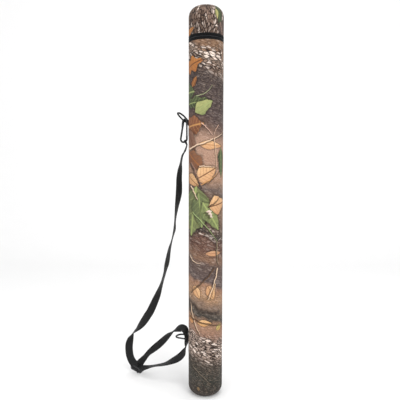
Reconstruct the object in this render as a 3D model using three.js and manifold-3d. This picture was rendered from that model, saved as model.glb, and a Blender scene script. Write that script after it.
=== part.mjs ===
// Fishing rod case: a padded, fabric-covered tube with a zipped lid, a clip-on shoulder strap,
// two D-rings and a snap hook. Millimetres, +Z up, origin at the centre of the base.
import * as THREE from 'three';
import { mergeVertices } from 'three/addons/utils/BufferGeometryUtils.js';
import Module from 'manifold-3d';

const wasm = await Module();
wasm.setup();

// ---------- driving dimensions ----------
const CASE_R = 51;                 // outer radius of the cover
const CASE_H = 1148;               // overall height, lid closed
const BASE_ROUND = 26.6;           // rounding of the bottom edge
const CROWN_ROUND = 30.7;          // rounding of the lid's top edge
const COVER_T = 1.2;               // face fabric with its backing
const FOAM_T = 2.2;                // padding under the cover
const LINER_T = 2.4;               // wall of the rigid tube
const LINING_T = 0.6;              // inner cloth
const GAP = 0.3;                   // space between pieces that rest on each other

const ZIP_Z = 1054;                // centre line of the zipper
const ZIP_HALF = 9;                // half of the black band's height
const SLIT_HALF = 0.8;             // half of the gap that the slider's web runs in
const HINGE_HALF_DEG = 24;         // half of the arc left to the fabric hinge, at +Y

const HARDWARE_DEG = 152;          // direction of the strap side, from +X
const WEBBING = 25;                // strap width
const WEBBING_T = 1.5;
const ROUND_STEPS = 36;            // facets round the case

// ---------- materials ----------
const finish = (color, roughness, metalness = 0) =>
  new THREE.MeshStandardMaterial({ color, roughness, metalness });
const camo = finish('#6f6152', 0.85);
const blackTape = finish('#17171a', 0.7);
const blackWebbing = finish('#1b1b1d', 0.8);
const foam = finish('#3a3a3c', 0.95);
const tubePlastic = finish('#c9c9c4', 0.5);
const liningCloth = finish('#26262a', 0.8);
const nylon = finish('#202022', 0.45);
const gunmetal = finish('#4b4d50', 0.35, 0.9);
const darkPlastic = finish('#141416', 0.5);

// ---------- helpers ----------
const caseGroup = new THREE.Group();

function add(name, geometry, material, place) {
  const mesh = new THREE.Mesh(geometry, material);
  mesh.name = name;
  if (place) place(mesh);
  caseGroup.add(mesh);
  return mesh;
}

// A body of revolution about +Z from [radius, z] points.
function turned(points) {
  const profile = points.map(([r, z]) => new THREE.Vector2(r, z));
  return new THREE.LatheGeometry(profile, ROUND_STEPS).rotateX(Math.PI / 2);
}

// A quarter round from the flat end (turnedIn = -1 for a base, 1 for a crown) to the wall.
function edgeRound(wallR, flatZ, radius, turnedIn, steps = 5) {
  const points = [];
  for (let i = 0; i <= steps; i += 1) {
    const a = (i / steps) * Math.PI / 2;
    points.push([wallR - radius + radius * Math.sin(a), flatZ - turnedIn * radius * (1 - Math.cos(a))]);
  }
  return points;
}

// A cup: closed flat end with a rounded edge, open at openZ, wall thickness t.
function cup(wallR, flatZ, openZ, radius, t, turnedIn) {
  const outer = edgeRound(wallR, flatZ, radius, turnedIn);
  const inner = edgeRound(wallR - t, flatZ - turnedIn * t, radius - t, turnedIn).reverse();
  const rim = [[wallR, openZ], [wallR - t, openZ]];
  const loop = [[0, flatZ], ...outer, ...rim, ...inner, [0, flatZ - turnedIn * t]];
  return turned(turnedIn < 0 ? loop : loop.reverse());
}

function pipe(outerR, innerR, z0, z1) {
  return turned([[innerR, z0], [outerR, z0], [outerR, z1], [innerR, z1], [innerR, z0]]);
}

function disc(radius, z0, z1) {
  return turned([[0, z0], [radius, z0], [radius, z1], [0, z1]]);
}

// Part of a ring between two angles in degrees, extruded along +Z.
function arcBand(innerR, outerR, z0, z1, fromDeg, toDeg, stepDeg = 6) {
  const steps = Math.max(1, Math.round((toDeg - fromDeg) / stepDeg));
  const at = (r, i) => {
    const a = THREE.MathUtils.degToRad(fromDeg + ((toDeg - fromDeg) * i) / steps);
    return new THREE.Vector2(r * Math.cos(a), r * Math.sin(a));
  };
  const outline = [];
  for (let i = 0; i <= steps; i += 1) outline.push(at(outerR, i));
  for (let i = steps; i >= 0; i -= 1) outline.push(at(innerR, i));
  return new THREE.ExtrudeGeometry(new THREE.Shape(outline), { depth: z1 - z0, bevelEnabled: false })
    .translate(0, 0, z0);
}

function toSolid(geometry) {
  const bare = geometry.clone();
  bare.deleteAttribute('normal');
  bare.deleteAttribute('uv');
  const merged = mergeVertices(bare, 1e-4);
  return new wasm.Manifold(new wasm.Mesh({
    numProp: 3,
    vertProperties: new Float32Array(merged.attributes.position.array),
    triVerts: new Uint32Array(merged.index.array),
  }));
}

function toGeometry(solid) {
  const mesh = solid.getMesh();
  const geometry = new THREE.BufferGeometry();
  geometry.setAttribute('position', new THREE.BufferAttribute(new Float32Array(mesh.vertProperties), 3));
  geometry.setIndex(new THREE.BufferAttribute(new Uint32Array(mesh.triVerts), 1));
  return geometry;
}

const join = (...parts) => toGeometry(parts.map(toSolid).reduce((a, b) => a.add(b)));
const cut = (base, ...tools) =>
  toGeometry(tools.map(toSolid).reduce((a, b) => a.subtract(b), toSolid(base)));

function block(x, y, z, cx = 0, cy = 0, cz = 0) {
  return new THREE.BoxGeometry(x, y, z).translate(cx, cy, cz);
}

// A rod along +Y.
function rod(radius, length, cx = 0, cy = 0, cz = 0, sides = 12) {
  return new THREE.CylinderGeometry(radius, radius, length, sides).translate(cx, cy, cz);
}

// Points of an open line through 2D corners, with every inner corner rounded to its radius.
function roundedLine(corners, stepsPerCorner = 6) {
  const points = [corners[0].slice(0, 2)];
  for (let i = 1; i < corners.length - 1; i += 1) {
    const [x, y, radius] = corners[i];
    const corner = new THREE.Vector2(x, y);
    const back = new THREE.Vector2(...corners[i - 1].slice(0, 2)).sub(corner).normalize();
    const ahead = new THREE.Vector2(...corners[i + 1].slice(0, 2)).sub(corner).normalize();
    const half = back.angleTo(ahead) / 2;
    const bisector = back.clone().add(ahead).normalize();
    const centre = corner.clone().addScaledVector(bisector, radius / Math.sin(half));
    const from = corner.clone().addScaledVector(back, radius / Math.tan(half)).sub(centre);
    const to = corner.clone().addScaledVector(ahead, radius / Math.tan(half)).sub(centre);
    const turn = Math.atan2(from.cross(to), from.dot(to));
    for (let k = 0; k <= stepsPerCorner; k += 1) {
      const spoke = from.clone().rotateAround(new THREE.Vector2(), (turn * k) / stepsPerCorner);
      points.push([centre.x + spoke.x, centre.y + spoke.y]);
    }
  }
  points.push(corners[corners.length - 1].slice(0, 2));
  return points;
}

// Round wire along an open line in the XZ plane.
function wire(points, radius, steps, sides = 10) {
  const path = new THREE.CurvePath();
  for (let i = 1; i < points.length; i += 1) {
    const [a, b] = [points[i - 1], points[i]];
    path.add(new THREE.LineCurve3(new THREE.Vector3(a[0], 0, a[1]), new THREE.Vector3(b[0], 0, b[1])));
  }
  const section = new THREE.Shape();
  for (let i = 0; i < sides; i += 1) {
    const a = (i / sides) * 2 * Math.PI;
    const [x, y] = [radius * Math.cos(a), radius * Math.sin(a)];
    if (i === 0) section.moveTo(x, y);
    else section.lineTo(x, y);
  }
  section.closePath();
  return new THREE.ExtrudeGeometry(section, { steps, extrudePath: path });
}

// ---------- rigid core and soft body ----------
const foamR = CASE_R - COVER_T - GAP;
const linerR = foamR - FOAM_T - GAP;
const liningR = linerR - LINER_T - GAP;
const bandLow = ZIP_Z - ZIP_HALF;
const bandHigh = ZIP_Z + ZIP_HALF;
const linerBottom = 18;
const linerTop = bandLow + 1;

add('body_cover', cup(CASE_R, 0, bandLow, BASE_ROUND, COVER_T, -1), camo);

const bumperFlat = COVER_T + GAP;
const bumperWall = linerR + GAP;
add('base_bumper', turned([
  [0, bumperFlat],
  ...edgeRound(foamR, bumperFlat, BASE_ROUND - bumperFlat, -1),
  [bumperWall, BASE_ROUND],
  [bumperWall, linerBottom - GAP],
  [0, linerBottom - GAP],
]), foam);
add('body_padding', pipe(foamR, bumperWall, BASE_ROUND + GAP, bandLow), foam);
add('tube_liner', pipe(linerR, linerR - LINER_T, linerBottom + 2.5, linerTop), tubePlastic);

const plugTop = linerBottom + 8;
add('tube_end_plug', turned([
  [0, linerBottom], [linerR, linerBottom], [linerR, linerBottom + 2.2],
  [liningR, linerBottom + 2.2], [liningR, plugTop], [0, plugTop],
]), darkPlastic);
const cushionTop = plugTop + 9;
add('butt_cushion', disc(liningR, plugTop + GAP, cushionTop), foam);
const liningFloor = cushionTop + GAP;
add('inner_lining', turned([
  [0, liningFloor], [liningR, liningFloor], [liningR, linerTop - 3],
  [liningR - LINING_T, linerTop - 3], [liningR - LINING_T, liningFloor + LINING_T],
  [0, liningFloor + LINING_T],
]), liningCloth);
add('mouth_binding', turned([
  [liningR - LINING_T, linerTop - 2.7], [liningR, linerTop - 2.7], [liningR, linerTop + GAP],
  [foamR, linerTop + GAP], [foamR, linerTop + 1.5], [liningR - LINING_T, linerTop + 1.5],
  [liningR - LINING_T, linerTop - 2.7],
]), blackTape);

// ---------- zipper round the mouth ----------
const zipFrom = 90 + HINGE_HALF_DEG;
const zipTo = 450 - HINGE_HALF_DEG;
const tapeInner = CASE_R - 1;
const coilOuter = tapeInner - GAP;
const coilInner = coilOuter - 1.5;
const slitLow = ZIP_Z - SLIT_HALF;
const slitHigh = ZIP_Z + SLIT_HALF;

const tapeLow = bandLow + GAP;
const tapeHigh = bandHigh - GAP;
add('zipper_tape_lower', arcBand(tapeInner, CASE_R, tapeLow, slitLow, zipFrom, zipTo), blackTape);
add('zipper_tape_upper', arcBand(tapeInner, CASE_R, slitHigh, tapeHigh, zipFrom, zipTo), blackTape);
add('zipper_coil_lower', arcBand(coilInner, coilOuter, slitLow - 2.8, slitLow, zipFrom, zipTo), nylon);
add('zipper_coil_upper', arcBand(coilInner, coilOuter, slitHigh, slitHigh + 2.8, zipFrom, zipTo), nylon);
const hingeEnd = HINGE_HALF_DEG - 0.6;
const flap = arcBand(tapeInner, CASE_R, tapeLow, tapeHigh, 90 - hingeEnd, 90 + hingeEnd);
add('hinge_flap', flap, blackTape);
const stops = { zip_stop_closed: zipTo - 360 - 2.6, zip_stop_open: zipFrom + 0.6 };
for (const [name, from] of Object.entries(stops)) {
  add(name, arcBand(CASE_R + 0.35, CASE_R + 1.2, slitLow - 5, slitLow, from, from + 2, 1), nylon);
}

// ---------- lid ----------
add('lid_cover', cup(CASE_R, CASE_H, bandHigh, CROWN_ROUND, COVER_T, 1), camo);
const shellTop = CASE_H - COVER_T - GAP;
const shellT = 3;
const shellLow = bandHigh - 0.6;
add('lid_shell', cup(foamR, shellTop, shellLow, CROWN_ROUND - COVER_T - GAP, shellT, 1), foam);
const lidLiningR = foamR - shellT - GAP;
const crownInner = shellTop - shellT - GAP;
add('lid_crown_pad', turned([
  [0, crownInner - 9], [lidLiningR - 13, crownInner - 9], [lidLiningR - 13, crownInner - 4],
  [lidLiningR - CROWN_ROUND + 5, crownInner], [0, crownInner],
]), foam);
add('lid_lining', pipe(lidLiningR, lidLiningR - LINING_T, shellLow, crownInner - 26), liningCloth);
add('lid_binding', pipe(foamR, lidLiningR - LINING_T, bandHigh - 2.4, shellLow - GAP), blackTape);

// ---------- zipper slider and pull ----------
const SLIDER_DEG = zipTo - 360 - 9;
const slider = new THREE.Group();
slider.rotation.z = THREE.MathUtils.degToRad(SLIDER_DEG);
caseGroup.add(slider);
const plateLow = ZIP_Z - 5;
const plateHigh = ZIP_Z + 5;
const outerPlate = CASE_R + 1.6;
const bridgeR = outerPlate + 3.6;
const bridgePost = 3.8;
const sliderBody = join(
  arcBand(outerPlate, outerPlate + 1.1, plateLow, plateHigh, -6, 6, 3),
  arcBand(coilInner - 1.7, coilInner - 0.6, plateLow, plateHigh, -6, 6, 3),
  block(outerPlate - coilInner + 2, 3.6, 1, (outerPlate + coilInner) / 2, 0, ZIP_Z),
  block(bridgeR - outerPlate + 0.4, 1.4, 2, (bridgeR + outerPlate) / 2 + 0.4, bridgePost, ZIP_Z),
  block(bridgeR - outerPlate + 0.4, 1.4, 2, (bridgeR + outerPlate) / 2 + 0.4, -bridgePost, ZIP_Z),
  rod(0.8, 2 * bridgePost, bridgeR, 0, ZIP_Z),
);
const sliderMesh = new THREE.Mesh(sliderBody, gunmetal);
sliderMesh.name = 'zip_slider_body';
slider.add(sliderMesh);

const PULL_LENGTH = 30;
const PULL_HALF = 4;
const pullOutline = new THREE.Shape();
pullOutline.moveTo(2.4, -1);
pullOutline.lineTo(-2.4, -1);
pullOutline.lineTo(-PULL_HALF, -9);
pullOutline.absarc(0, PULL_HALF - PULL_LENGTH, PULL_HALF, Math.PI, 2 * Math.PI, false);
pullOutline.lineTo(PULL_HALF, -9);
const PULL_T = 1.4;
const pullPlate = new THREE.ExtrudeGeometry(pullOutline, { depth: PULL_T, bevelEnabled: false })
  .translate(0, 0, -PULL_T / 2)
  .rotateX(Math.PI / 2)
  .rotateZ(Math.PI / 2)
  .translate(bridgeR, 0, ZIP_Z);
const pullEye = rod(2.3, 4.8, bridgeR, 0, ZIP_Z);
const pullMesh = new THREE.Mesh(cut(join(pullPlate, pullEye), rod(1.15, 20, bridgeR, 0, ZIP_Z)), gunmetal);
pullMesh.name = 'zip_pull_tab';
slider.add(pullMesh);

// ---------- strap side: a local frame with X outward, Y sideways, Z up ----------
const strapSide = new THREE.Group();
strapSide.rotation.z = THREE.MathUtils.degToRad(HARDWARE_DEG);
caseGroup.add(strapSide);

function addToSide(name, geometry, material) {
  const mesh = new THREE.Mesh(geometry, material);
  mesh.name = name;
  strapSide.add(mesh);
}

const RING_WIRE = 2;               // wire radius of both D-rings
const RING_LENGTH = 42;            // from the bar's centre to the outside of the bow
const RING_HALF = 16.5;            // from the middle to each leg's centre
const RING_SHIFT = 4.5;            // both rings sit this far to one side of their tabs
const UPPER_BAR = [61.6, 821];     // [outward, height] of the upper ring's bar
const LOWER_BAR = [57.2, 161];
const TAB_HALF = 9;                // half of the tab webbing's width
const TAB_T = 2 * WEBBING_T;

// Webbing folded round a bar: an eye and a double tail, as wide as the webbing.
function tab([barX, barZ], tailEnd) {
  const tailX = CASE_R + 0.4;
  const shape = new THREE.Shape();
  shape.moveTo(tailX, barZ - tailEnd);
  shape.lineTo(tailX + TAB_T, barZ - tailEnd);
  shape.lineTo(tailX + TAB_T, barZ - 14);
  shape.absarc(barX, barZ, 4, -0.9, Math.PI * 0.8, false);
  shape.lineTo(tailX, barZ - 10);
  const eye = new THREE.Path();
  eye.absarc(barX, barZ, RING_WIRE + 0.4, 0, 2 * Math.PI, true);
  shape.holes.push(eye);
  return new THREE.ExtrudeGeometry(shape, { depth: 2 * TAB_HALF, bevelEnabled: false, curveSegments: 8 })
    .rotateX(Math.PI / 2).translate(0, TAB_HALF, 0);
}

addToSide('upper_tab', tab(UPPER_BAR, 44), blackWebbing);
addToSide('lower_tab', tab(LOWER_BAR, 44), blackWebbing);

// D-ring in its own XY plane: bar along Y through the origin, bow towards +X.
function dRing(sides = 8) {
  const bow = RING_LENGTH - RING_WIRE;
  const bowRound = RING_HALF - 1;
  const line = roundedLine([
    [0, 0], [0, RING_HALF, 2.6], [bow, RING_HALF, bowRound],
    [bow, -RING_HALF, bowRound], [0, -RING_HALF, 2.6], [0, 0],
  ], 5).slice(1);
  const vertices = [];
  const triangles = [];
  line.forEach((point, i) => {
    const before = line[(i + line.length - 1) % line.length];
    const after = line[(i + 1) % line.length];
    const along = new THREE.Vector2(after[0] - before[0], after[1] - before[1]).normalize();
    for (let k = 0; k < sides; k += 1) {
      const a = ((k + 0.5) / sides) * 2 * Math.PI;
      const out = RING_WIRE * Math.cos(a);
      vertices.push(point[0] + along.y * out, point[1] - along.x * out, RING_WIRE * Math.sin(a));
      const [p, q] = [i * sides + k, i * sides + ((k + 1) % sides)];
      const [pn, qn] = [p, q].map((n) => (n + sides) % (sides * line.length));
      triangles.push(p, pn, qn, p, qn, q);
    }
  });
  const geometry = new THREE.BufferGeometry();
  geometry.setAttribute('position', new THREE.Float32BufferAttribute(vertices, 3));
  geometry.setIndex(triangles);
  return geometry;
}

const UPPER_RING_TILT = 45;
const LOWER_RING_TILT = -2;
addToSide('upper_d_ring', dRing().rotateY(THREE.MathUtils.degToRad(-UPPER_RING_TILT))
  .translate(UPPER_BAR[0], RING_SHIFT, UPPER_BAR[1]), gunmetal);
addToSide('lower_d_ring', dRing().rotateY(THREE.MathUtils.degToRad(-LOWER_RING_TILT))
  .translate(LOWER_BAR[0], RING_SHIFT, LOWER_BAR[1]), gunmetal);

// ---------- snap hook: wire frame, gate and rivet, hung on the upper ring's bar ----------
const HOOK_Y = 14.8;               // the hook's own plane, beside the tab
const HOOK_WIRE = 2.5;
const GATE_X = 56.4;               // centre line of the gate side
const HINGE_Z = 808;
const NOSE_Z = 781;
const frameLine = roundedLine([
  [GATE_X, HINGE_Z + 4.4], [GATE_X, UPPER_BAR[1] + 5.2, 5.1], [GATE_X + 10.8, UPPER_BAR[1] + 5.2, 5],
  [80.5, 752.5, 9], [GATE_X, 766, 6], [GATE_X, NOSE_Z],
]);
const tang = block(3.4, 1.6, 8, GATE_X, 0, HINGE_Z + 2);
const noseSlot = block(8, 2.4, 8, GATE_X, 0, NOSE_Z);
const hookFrame = cut(
  join(wire(frameLine, HOOK_WIRE, 40, 8), tang),
  noseSlot,
  rod(0.95, 8, GATE_X, 0, HINGE_Z),
);
addToSide('hook_frame', hookFrame.translate(0, HOOK_Y, 0), gunmetal);

const GATE_R = 2.4;
const gateTop = HINGE_Z + 3.2;
const gateLow = NOSE_Z + 0.5;
const gate = cut(
  join(
    new THREE.CylinderGeometry(GATE_R, GATE_R, gateTop - gateLow, 12).rotateX(Math.PI / 2)
      .translate(GATE_X, 0, (gateTop + gateLow) / 2),
    block(3.2, 1.6, 5, GATE_X, 0, gateLow - 1),
  ),
  block(8, 2.4, 13.4, GATE_X, 0, gateTop),
  rod(1.15, 8, GATE_X, 0, HINGE_Z),
);
addToSide('hook_gate', gate.translate(0, HOOK_Y, 0), gunmetal);
addToSide('hook_rivet', rod(0.85, 6.4, GATE_X, HOOK_Y, HINGE_Z), gunmetal);

// ---------- shoulder strap: one length of webbing, in the stretches that its fittings divide ----------
// Each station is [outward, sideways, height, twist in degrees]; at twist 0 the width runs sideways.
const STRAP_MAIN = [
  [58, 14.8, 746.5, -28], [59.5, 14.8, 742, -28], [64, 14, 733, -26], [72.5, 13, 721, -24],
  [78.5, 12, 699, -16], [83, 10.5, 676, 6], [86.5, 9, 652, 10], [87.5, 7.5, 627, 17],
  [90, 6, 601, 17], [98, 4, 563, -4], [105, 2, 523, -20], [108.5, 1, 491, -14],
  [117, 0, 463, -21], [127, 0, 431, -10], [136.5, 0, 385, 4], [143.5, 0, 357, -9],
  [154, 0, 325, -9], [164, 0, 299, 5], [176.5, 0, 269, 31], [198, 0, 225, 56],
  [211, 0, 205, 68], [232, 0, 176, 98], [259, 0, 148, 150], [272, 0, 135, 165],
  [281, 0, 116, 200], [287, 0, 89, 234], [285.5, 0, 63, 238], [280, 0, 47, 238], [273, 0, 37, 240],
];
const STRAP_LOWER = [
  [238, 5, 20, 62], [229, 6, 25, 44], [218, 6.5, 30, 22], [200, 6, 37, 8], [176, 6, 47, 0],
  [146, 6, 58, 10], [116, 6, 74, 38], [92, 5.5, 89, 60], [75, 5, 107, 58], [65.5, 4.5, 126, 25],
  [63.2, 4.5, 143, 0], [63.2, 4.5, 156, 0],
];
const STRAP_UPPER = [
  [63.2, 4.5, 156.5, 0], [63.9, 4.5, 167, 0], [68, 3, 176, -16], [76, 0, 180, -42],
  [90, -3, 175, -52], [108, -5, 167, -18], [129, -6, 154, 18], [157, -6, 128, 48],
  [180, -6, 106, 58], [202, -5, 86, 44], [218, -4, 70, 28], [232, -3, 54, 40], [244, -2, 39, 60],
];

function ribbon(stations, steps, width = WEBBING, thickness = WEBBING_T) {
  const route = new THREE.CatmullRomCurve3(
    stations.map(([x, y, z]) => new THREE.Vector3(x, y, z)), false, 'catmullrom');
  const twist = new THREE.CatmullRomCurve3(
    stations.map((station) => new THREE.Vector3(station[3], 0, 0)), false, 'catmullrom');
  const vertices = [];
  const triangles = [];
  for (let i = 0; i <= steps; i += 1) {
    const t = i / steps;
    const centre = route.getPoint(t);
    const ahead = route.getTangent(t);
    const across = new THREE.Vector3(0, 1, 0).addScaledVector(ahead, -ahead.y).normalize();
    across.applyAxisAngle(ahead, THREE.MathUtils.degToRad(twist.getPoint(t).x));
    const face = ahead.clone().cross(across);
    for (const [a, b] of [[-1, -1], [1, -1], [1, 1], [-1, 1]]) {
      const corner = centre.clone()
        .addScaledVector(across, (a * width) / 2).addScaledVector(face, (b * thickness) / 2);
      vertices.push(corner.x, corner.y, corner.z);
    }
    if (i === steps) continue;
    // Both wide sides are split along the same diagonal, so that the ribbon keeps its thickness in a twist.
    for (let k = 0; k < 4; k += 1) {
      const [p, q] = [4 * i + k, 4 * i + ((k + 1) % 4)];
      if (k === 2) triangles.push(p, q, p + 4, q, q + 4, p + 4);
      else triangles.push(p, q, q + 4, p, q + 4, p + 4);
    }
  }
  const last = 4 * steps;
  triangles.push(0, 2, 1, 0, 3, 2, last, last + 1, last + 2, last, last + 2, last + 3);
  const geometry = new THREE.BufferGeometry();
  geometry.setAttribute('position', new THREE.Float32BufferAttribute(vertices, 3));
  geometry.setIndex(triangles);
  return geometry;
}

addToSide('strap_main', ribbon(STRAP_MAIN, 72), blackWebbing);
addToSide('strap_lower_run', ribbon(STRAP_LOWER, 26), blackWebbing);
addToSide('strap_upper_run', ribbon(STRAP_UPPER, 28), blackWebbing);

// The strap's sewn end, gathered round the slanting side of the hook.
const endEye = new THREE.Shape();
endEye.moveTo(-1.6, -13);
endEye.lineTo(1.6, -13);
endEye.lineTo(1.6, -4.4);
endEye.absarc(0, 0, 4.8, -1.2, Math.PI + 1.2, false);
endEye.lineTo(-1.6, -4.4);
const endHole = new THREE.Path();
endHole.absarc(0, 0, HOOK_WIRE + 0.8, 0, 2 * Math.PI, true);
endEye.holes.push(endHole);
const endLoop = new THREE.ExtrudeGeometry(endEye, { depth: 5, bevelEnabled: false, curveSegments: 10 })
  .translate(0, 0, -2.5).rotateX(Math.PI / 2);
addToSide('strap_end_loop', endLoop.rotateZ(Math.PI / 2).rotateY(THREE.MathUtils.degToRad(29.3))
  .translate(61.8, HOOK_Y, 763), blackWebbing);

// ---------- strap adjuster: a three-bar slider that stands on one edge on the floor ----------
const ADJUSTER_LENGTH = 38;
const ADJUSTER_HEIGHT = 24;
const adjuster = cut(
  block(ADJUSTER_LENGTH, 3.4, ADJUSTER_HEIGHT),
  block(WEBBING + 3, 8, 5.6, 0, 0, 5),
  block(WEBBING + 3, 8, 5.6, 0, 0, -5),
);
addToSide('strap_adjuster', adjuster.rotateX(THREE.MathUtils.degToRad(-24))
  .rotateY(THREE.MathUtils.degToRad(-13)).translate(262, 0, 16.2), darkPlastic);

export default caseGroup;
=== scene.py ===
"""Looks for a fishing rod case: a printed camouflage tube with a zipped lid, a clip-on shoulder strap,
two D-rings and a snap hook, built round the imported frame. Metres, +Z up, the front is -Y."""
import math

import bmesh
import bpy
from mathutils import Matrix, Vector, noise


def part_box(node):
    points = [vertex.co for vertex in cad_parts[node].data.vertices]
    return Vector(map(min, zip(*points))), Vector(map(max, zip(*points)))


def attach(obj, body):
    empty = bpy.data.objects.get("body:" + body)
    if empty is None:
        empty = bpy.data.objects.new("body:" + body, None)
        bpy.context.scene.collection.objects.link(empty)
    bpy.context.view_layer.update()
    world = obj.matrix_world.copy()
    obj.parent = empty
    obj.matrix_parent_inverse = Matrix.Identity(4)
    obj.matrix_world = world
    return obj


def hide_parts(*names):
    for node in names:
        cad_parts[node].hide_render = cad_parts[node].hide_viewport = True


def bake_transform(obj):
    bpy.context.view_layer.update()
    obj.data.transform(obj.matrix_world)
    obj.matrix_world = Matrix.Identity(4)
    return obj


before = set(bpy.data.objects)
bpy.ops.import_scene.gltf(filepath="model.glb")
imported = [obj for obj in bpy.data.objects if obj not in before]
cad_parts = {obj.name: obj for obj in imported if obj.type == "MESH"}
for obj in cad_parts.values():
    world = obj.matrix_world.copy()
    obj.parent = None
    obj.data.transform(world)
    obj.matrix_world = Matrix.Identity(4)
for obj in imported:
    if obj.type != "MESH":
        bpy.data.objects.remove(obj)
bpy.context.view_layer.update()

MM = 0.001


def linked(name, data):
    """A new object of this data, in the scene."""
    made = bpy.data.objects.new(name, data)
    bpy.context.scene.collection.objects.link(made)
    return made


# ---------- camera, at the photograph's viewing angle ----------
CAMERA_PLACE = (-0.0173, -1.38516, 0.68952)
CAMERA_PITCH = 0.0727
CAMERA_ROLL = -0.002
CAMERA_LENS = 41.94

camera_data = bpy.data.cameras.new("camera")
camera_data.lens = CAMERA_LENS
camera_data.sensor_width = 36
camera = linked("camera", camera_data)
camera.location = CAMERA_PLACE
camera.rotation_euler = (math.pi / 2 - CAMERA_PITCH, CAMERA_ROLL, 0)
bpy.context.scene.camera = camera


# ---------- node helpers ----------
def srgb(r, g, b):
    """A display colour from 0 to 255 as the linear colour that nodes take."""
    parts = [(c / 255 / 12.92) if c <= 10 else ((c / 255 + 0.055) / 1.055) ** 2.4 for c in (r, g, b)]
    return (*parts, 1.0)


def dimmed(colour, share):
    """The colour times a share of its brightness."""
    return tuple(part * share for part in colour[:3]) + (1.0,)


class Nodes:
    """Short ways to add nodes to a tree. Values may be sockets or plain numbers."""

    def __init__(self, tree):
        self.tree = tree

    def put(self, socket, value):
        if isinstance(value, bpy.types.NodeSocket):
            self.tree.links.new(value, socket)
        elif value is not None:
            socket.default_value = value

    def node(self, kind, **settings):
        made = self.tree.nodes.new(kind)
        for key, value in settings.items():
            setattr(made, key, value)
        return made

    def math(self, operation, a, b=None, c=None, clamp=False):
        made = self.node("ShaderNodeMath", operation=operation, use_clamp=clamp)
        for socket, value in zip(made.inputs, (a, b, c)):
            self.put(socket, value)
        return made.outputs[0]

    def vector(self, operation, a, b=None, c=None):
        made = self.node("ShaderNodeVectorMath", operation=operation)
        for socket, value in zip(made.inputs, (a, b, c)):
            self.put(socket, value)
        return made.outputs[0]

    def split(self, vector):
        made = self.node("ShaderNodeSeparateXYZ")
        self.put(made.inputs[0], vector)
        return made.outputs

    def join(self, x, y, z=0.0):
        made = self.node("ShaderNodeCombineXYZ")
        for socket, value in zip(made.inputs, (x, y, z)):
            self.put(socket, value)
        return made.outputs[0]

    def mapped(self, vector, location=(0, 0, 0), turn=0.0, scale=(1, 1, 1), kind="POINT"):
        made = self.node("ShaderNodeMapping", vector_type=kind)
        self.put(made.inputs["Vector"], vector)
        made.inputs["Location"].default_value = location
        made.inputs["Rotation"].default_value = (0, 0, turn)
        made.inputs["Scale"].default_value = scale
        return made.outputs[0]

    def mix(self, amount, a, b, blend="MIX"):
        made = self.node("ShaderNodeMix", data_type="RGBA", blend_type=blend)
        self.put(made.inputs[0], amount)
        self.put(made.inputs[6], a)
        self.put(made.inputs[7], b)
        return made.outputs[2]

    def noise(self, vector, scale, detail=2.0, rough=0.5, distortion=0.0):
        made = self.node("ShaderNodeTexNoise")
        self.put(made.inputs["Vector"], vector)
        self.put(made.inputs["Scale"], scale)
        self.put(made.inputs["Detail"], detail)
        self.put(made.inputs["Roughness"], rough)
        self.put(made.inputs["Distortion"], distortion)
        return made.outputs

    def cells(self, vector, scale, feature="F1", randomness=1.0):
        made = self.node("ShaderNodeTexVoronoi", feature=feature)
        self.put(made.inputs["Vector"], vector)
        self.put(made.inputs["Scale"], scale)
        self.put(made.inputs["Randomness"], randomness)
        return made.outputs

    def smooth(self, value, low, high, out_low=0.0, out_high=1.0):
        made = self.node("ShaderNodeMapRange", interpolation_type="SMOOTHSTEP")
        self.put(made.inputs["Value"], value)
        limits = {"From Min": low, "From Max": high, "To Min": out_low, "To Max": out_high}
        for name, number in limits.items():
            self.put(made.inputs[name], number)
        return made.outputs[0]

    def ramp(self, value, stops):
        made = self.node("ShaderNodeValToRGB")
        self.put(made.inputs[0], value)
        elements = made.color_ramp.elements
        for i, (place, colour) in enumerate(stops):
            element = elements[i] if i < 2 else elements.new(place)
            element.position = place
            element.color = colour
        return made.outputs[0]

    def levels(self, value, stops):
        """A ramp of plain numbers."""
        return self.ramp(value, [(place, grey(level)) for place, level in stops])

    def place(self):
        """The shaded point's place on its object."""
        return self.node("ShaderNodeTexCoord").outputs["Object"]

    def pointed(self):
        """How much the surface sticks out, 0.5 where it's flat."""
        return self.node("ShaderNodeNewGeometry").outputs["Pointiness"]


def grey(value):
    return (value, value, value, 1.0)


def new_material(name, colour, roughness, metallic=0.0, specular=0.5, **sockets):
    """A material with its shader's uniform values set, and Nodes for its tree."""
    material = bpy.data.materials.new(name)
    material.use_nodes = True
    shader = material.node_tree.nodes["Principled BSDF"]
    shader.inputs["Base Color"].default_value = colour
    shader.inputs["Roughness"].default_value = roughness
    shader.inputs["Metallic"].default_value = metallic
    shader.inputs["Specular IOR Level"].default_value = specular
    for key, value in sockets.items():
        shader.inputs[key.replace("_", " ")].default_value = value
    return material, Nodes(material.node_tree), shader


def bump(nodes, shader, height, distance, strength=1.0):
    made = nodes.node("ShaderNodeBump")
    made.inputs["Strength"].default_value = strength
    made.inputs["Distance"].default_value = distance
    nodes.put(made.inputs["Height"], height)
    nodes.put(shader.inputs["Normal"], made.outputs[0])


# ---------- mesh helpers ----------
def smooth_shaded(mesh):
    mesh.polygons.foreach_set("use_smooth", [True] * len(mesh.polygons))


def new_object(name, vertices, faces, material):
    mesh = bpy.data.meshes.new(name)
    mesh.from_pydata([tuple(v) for v in vertices], [], faces)
    mesh.validate()
    mesh.materials.append(material)
    smooth_shaded(mesh)
    mesh.update()
    return linked(name, mesh)


def faced_out(mesh, weld=0.0, drop_loose=False):
    """Turns a closed mesh's faces outwards, once its points are welded or its loose ones dropped if asked."""
    work = bmesh.new()
    work.from_mesh(mesh)
    if weld:
        bmesh.ops.remove_doubles(work, verts=work.verts, dist=weld)
    if drop_loose:
        bmesh.ops.delete(work, geom=[v for v in work.verts if not v.link_faces], context="VERTS")
    bmesh.ops.recalc_face_normals(work, faces=work.faces)
    work.to_mesh(mesh)
    work.free()


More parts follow.
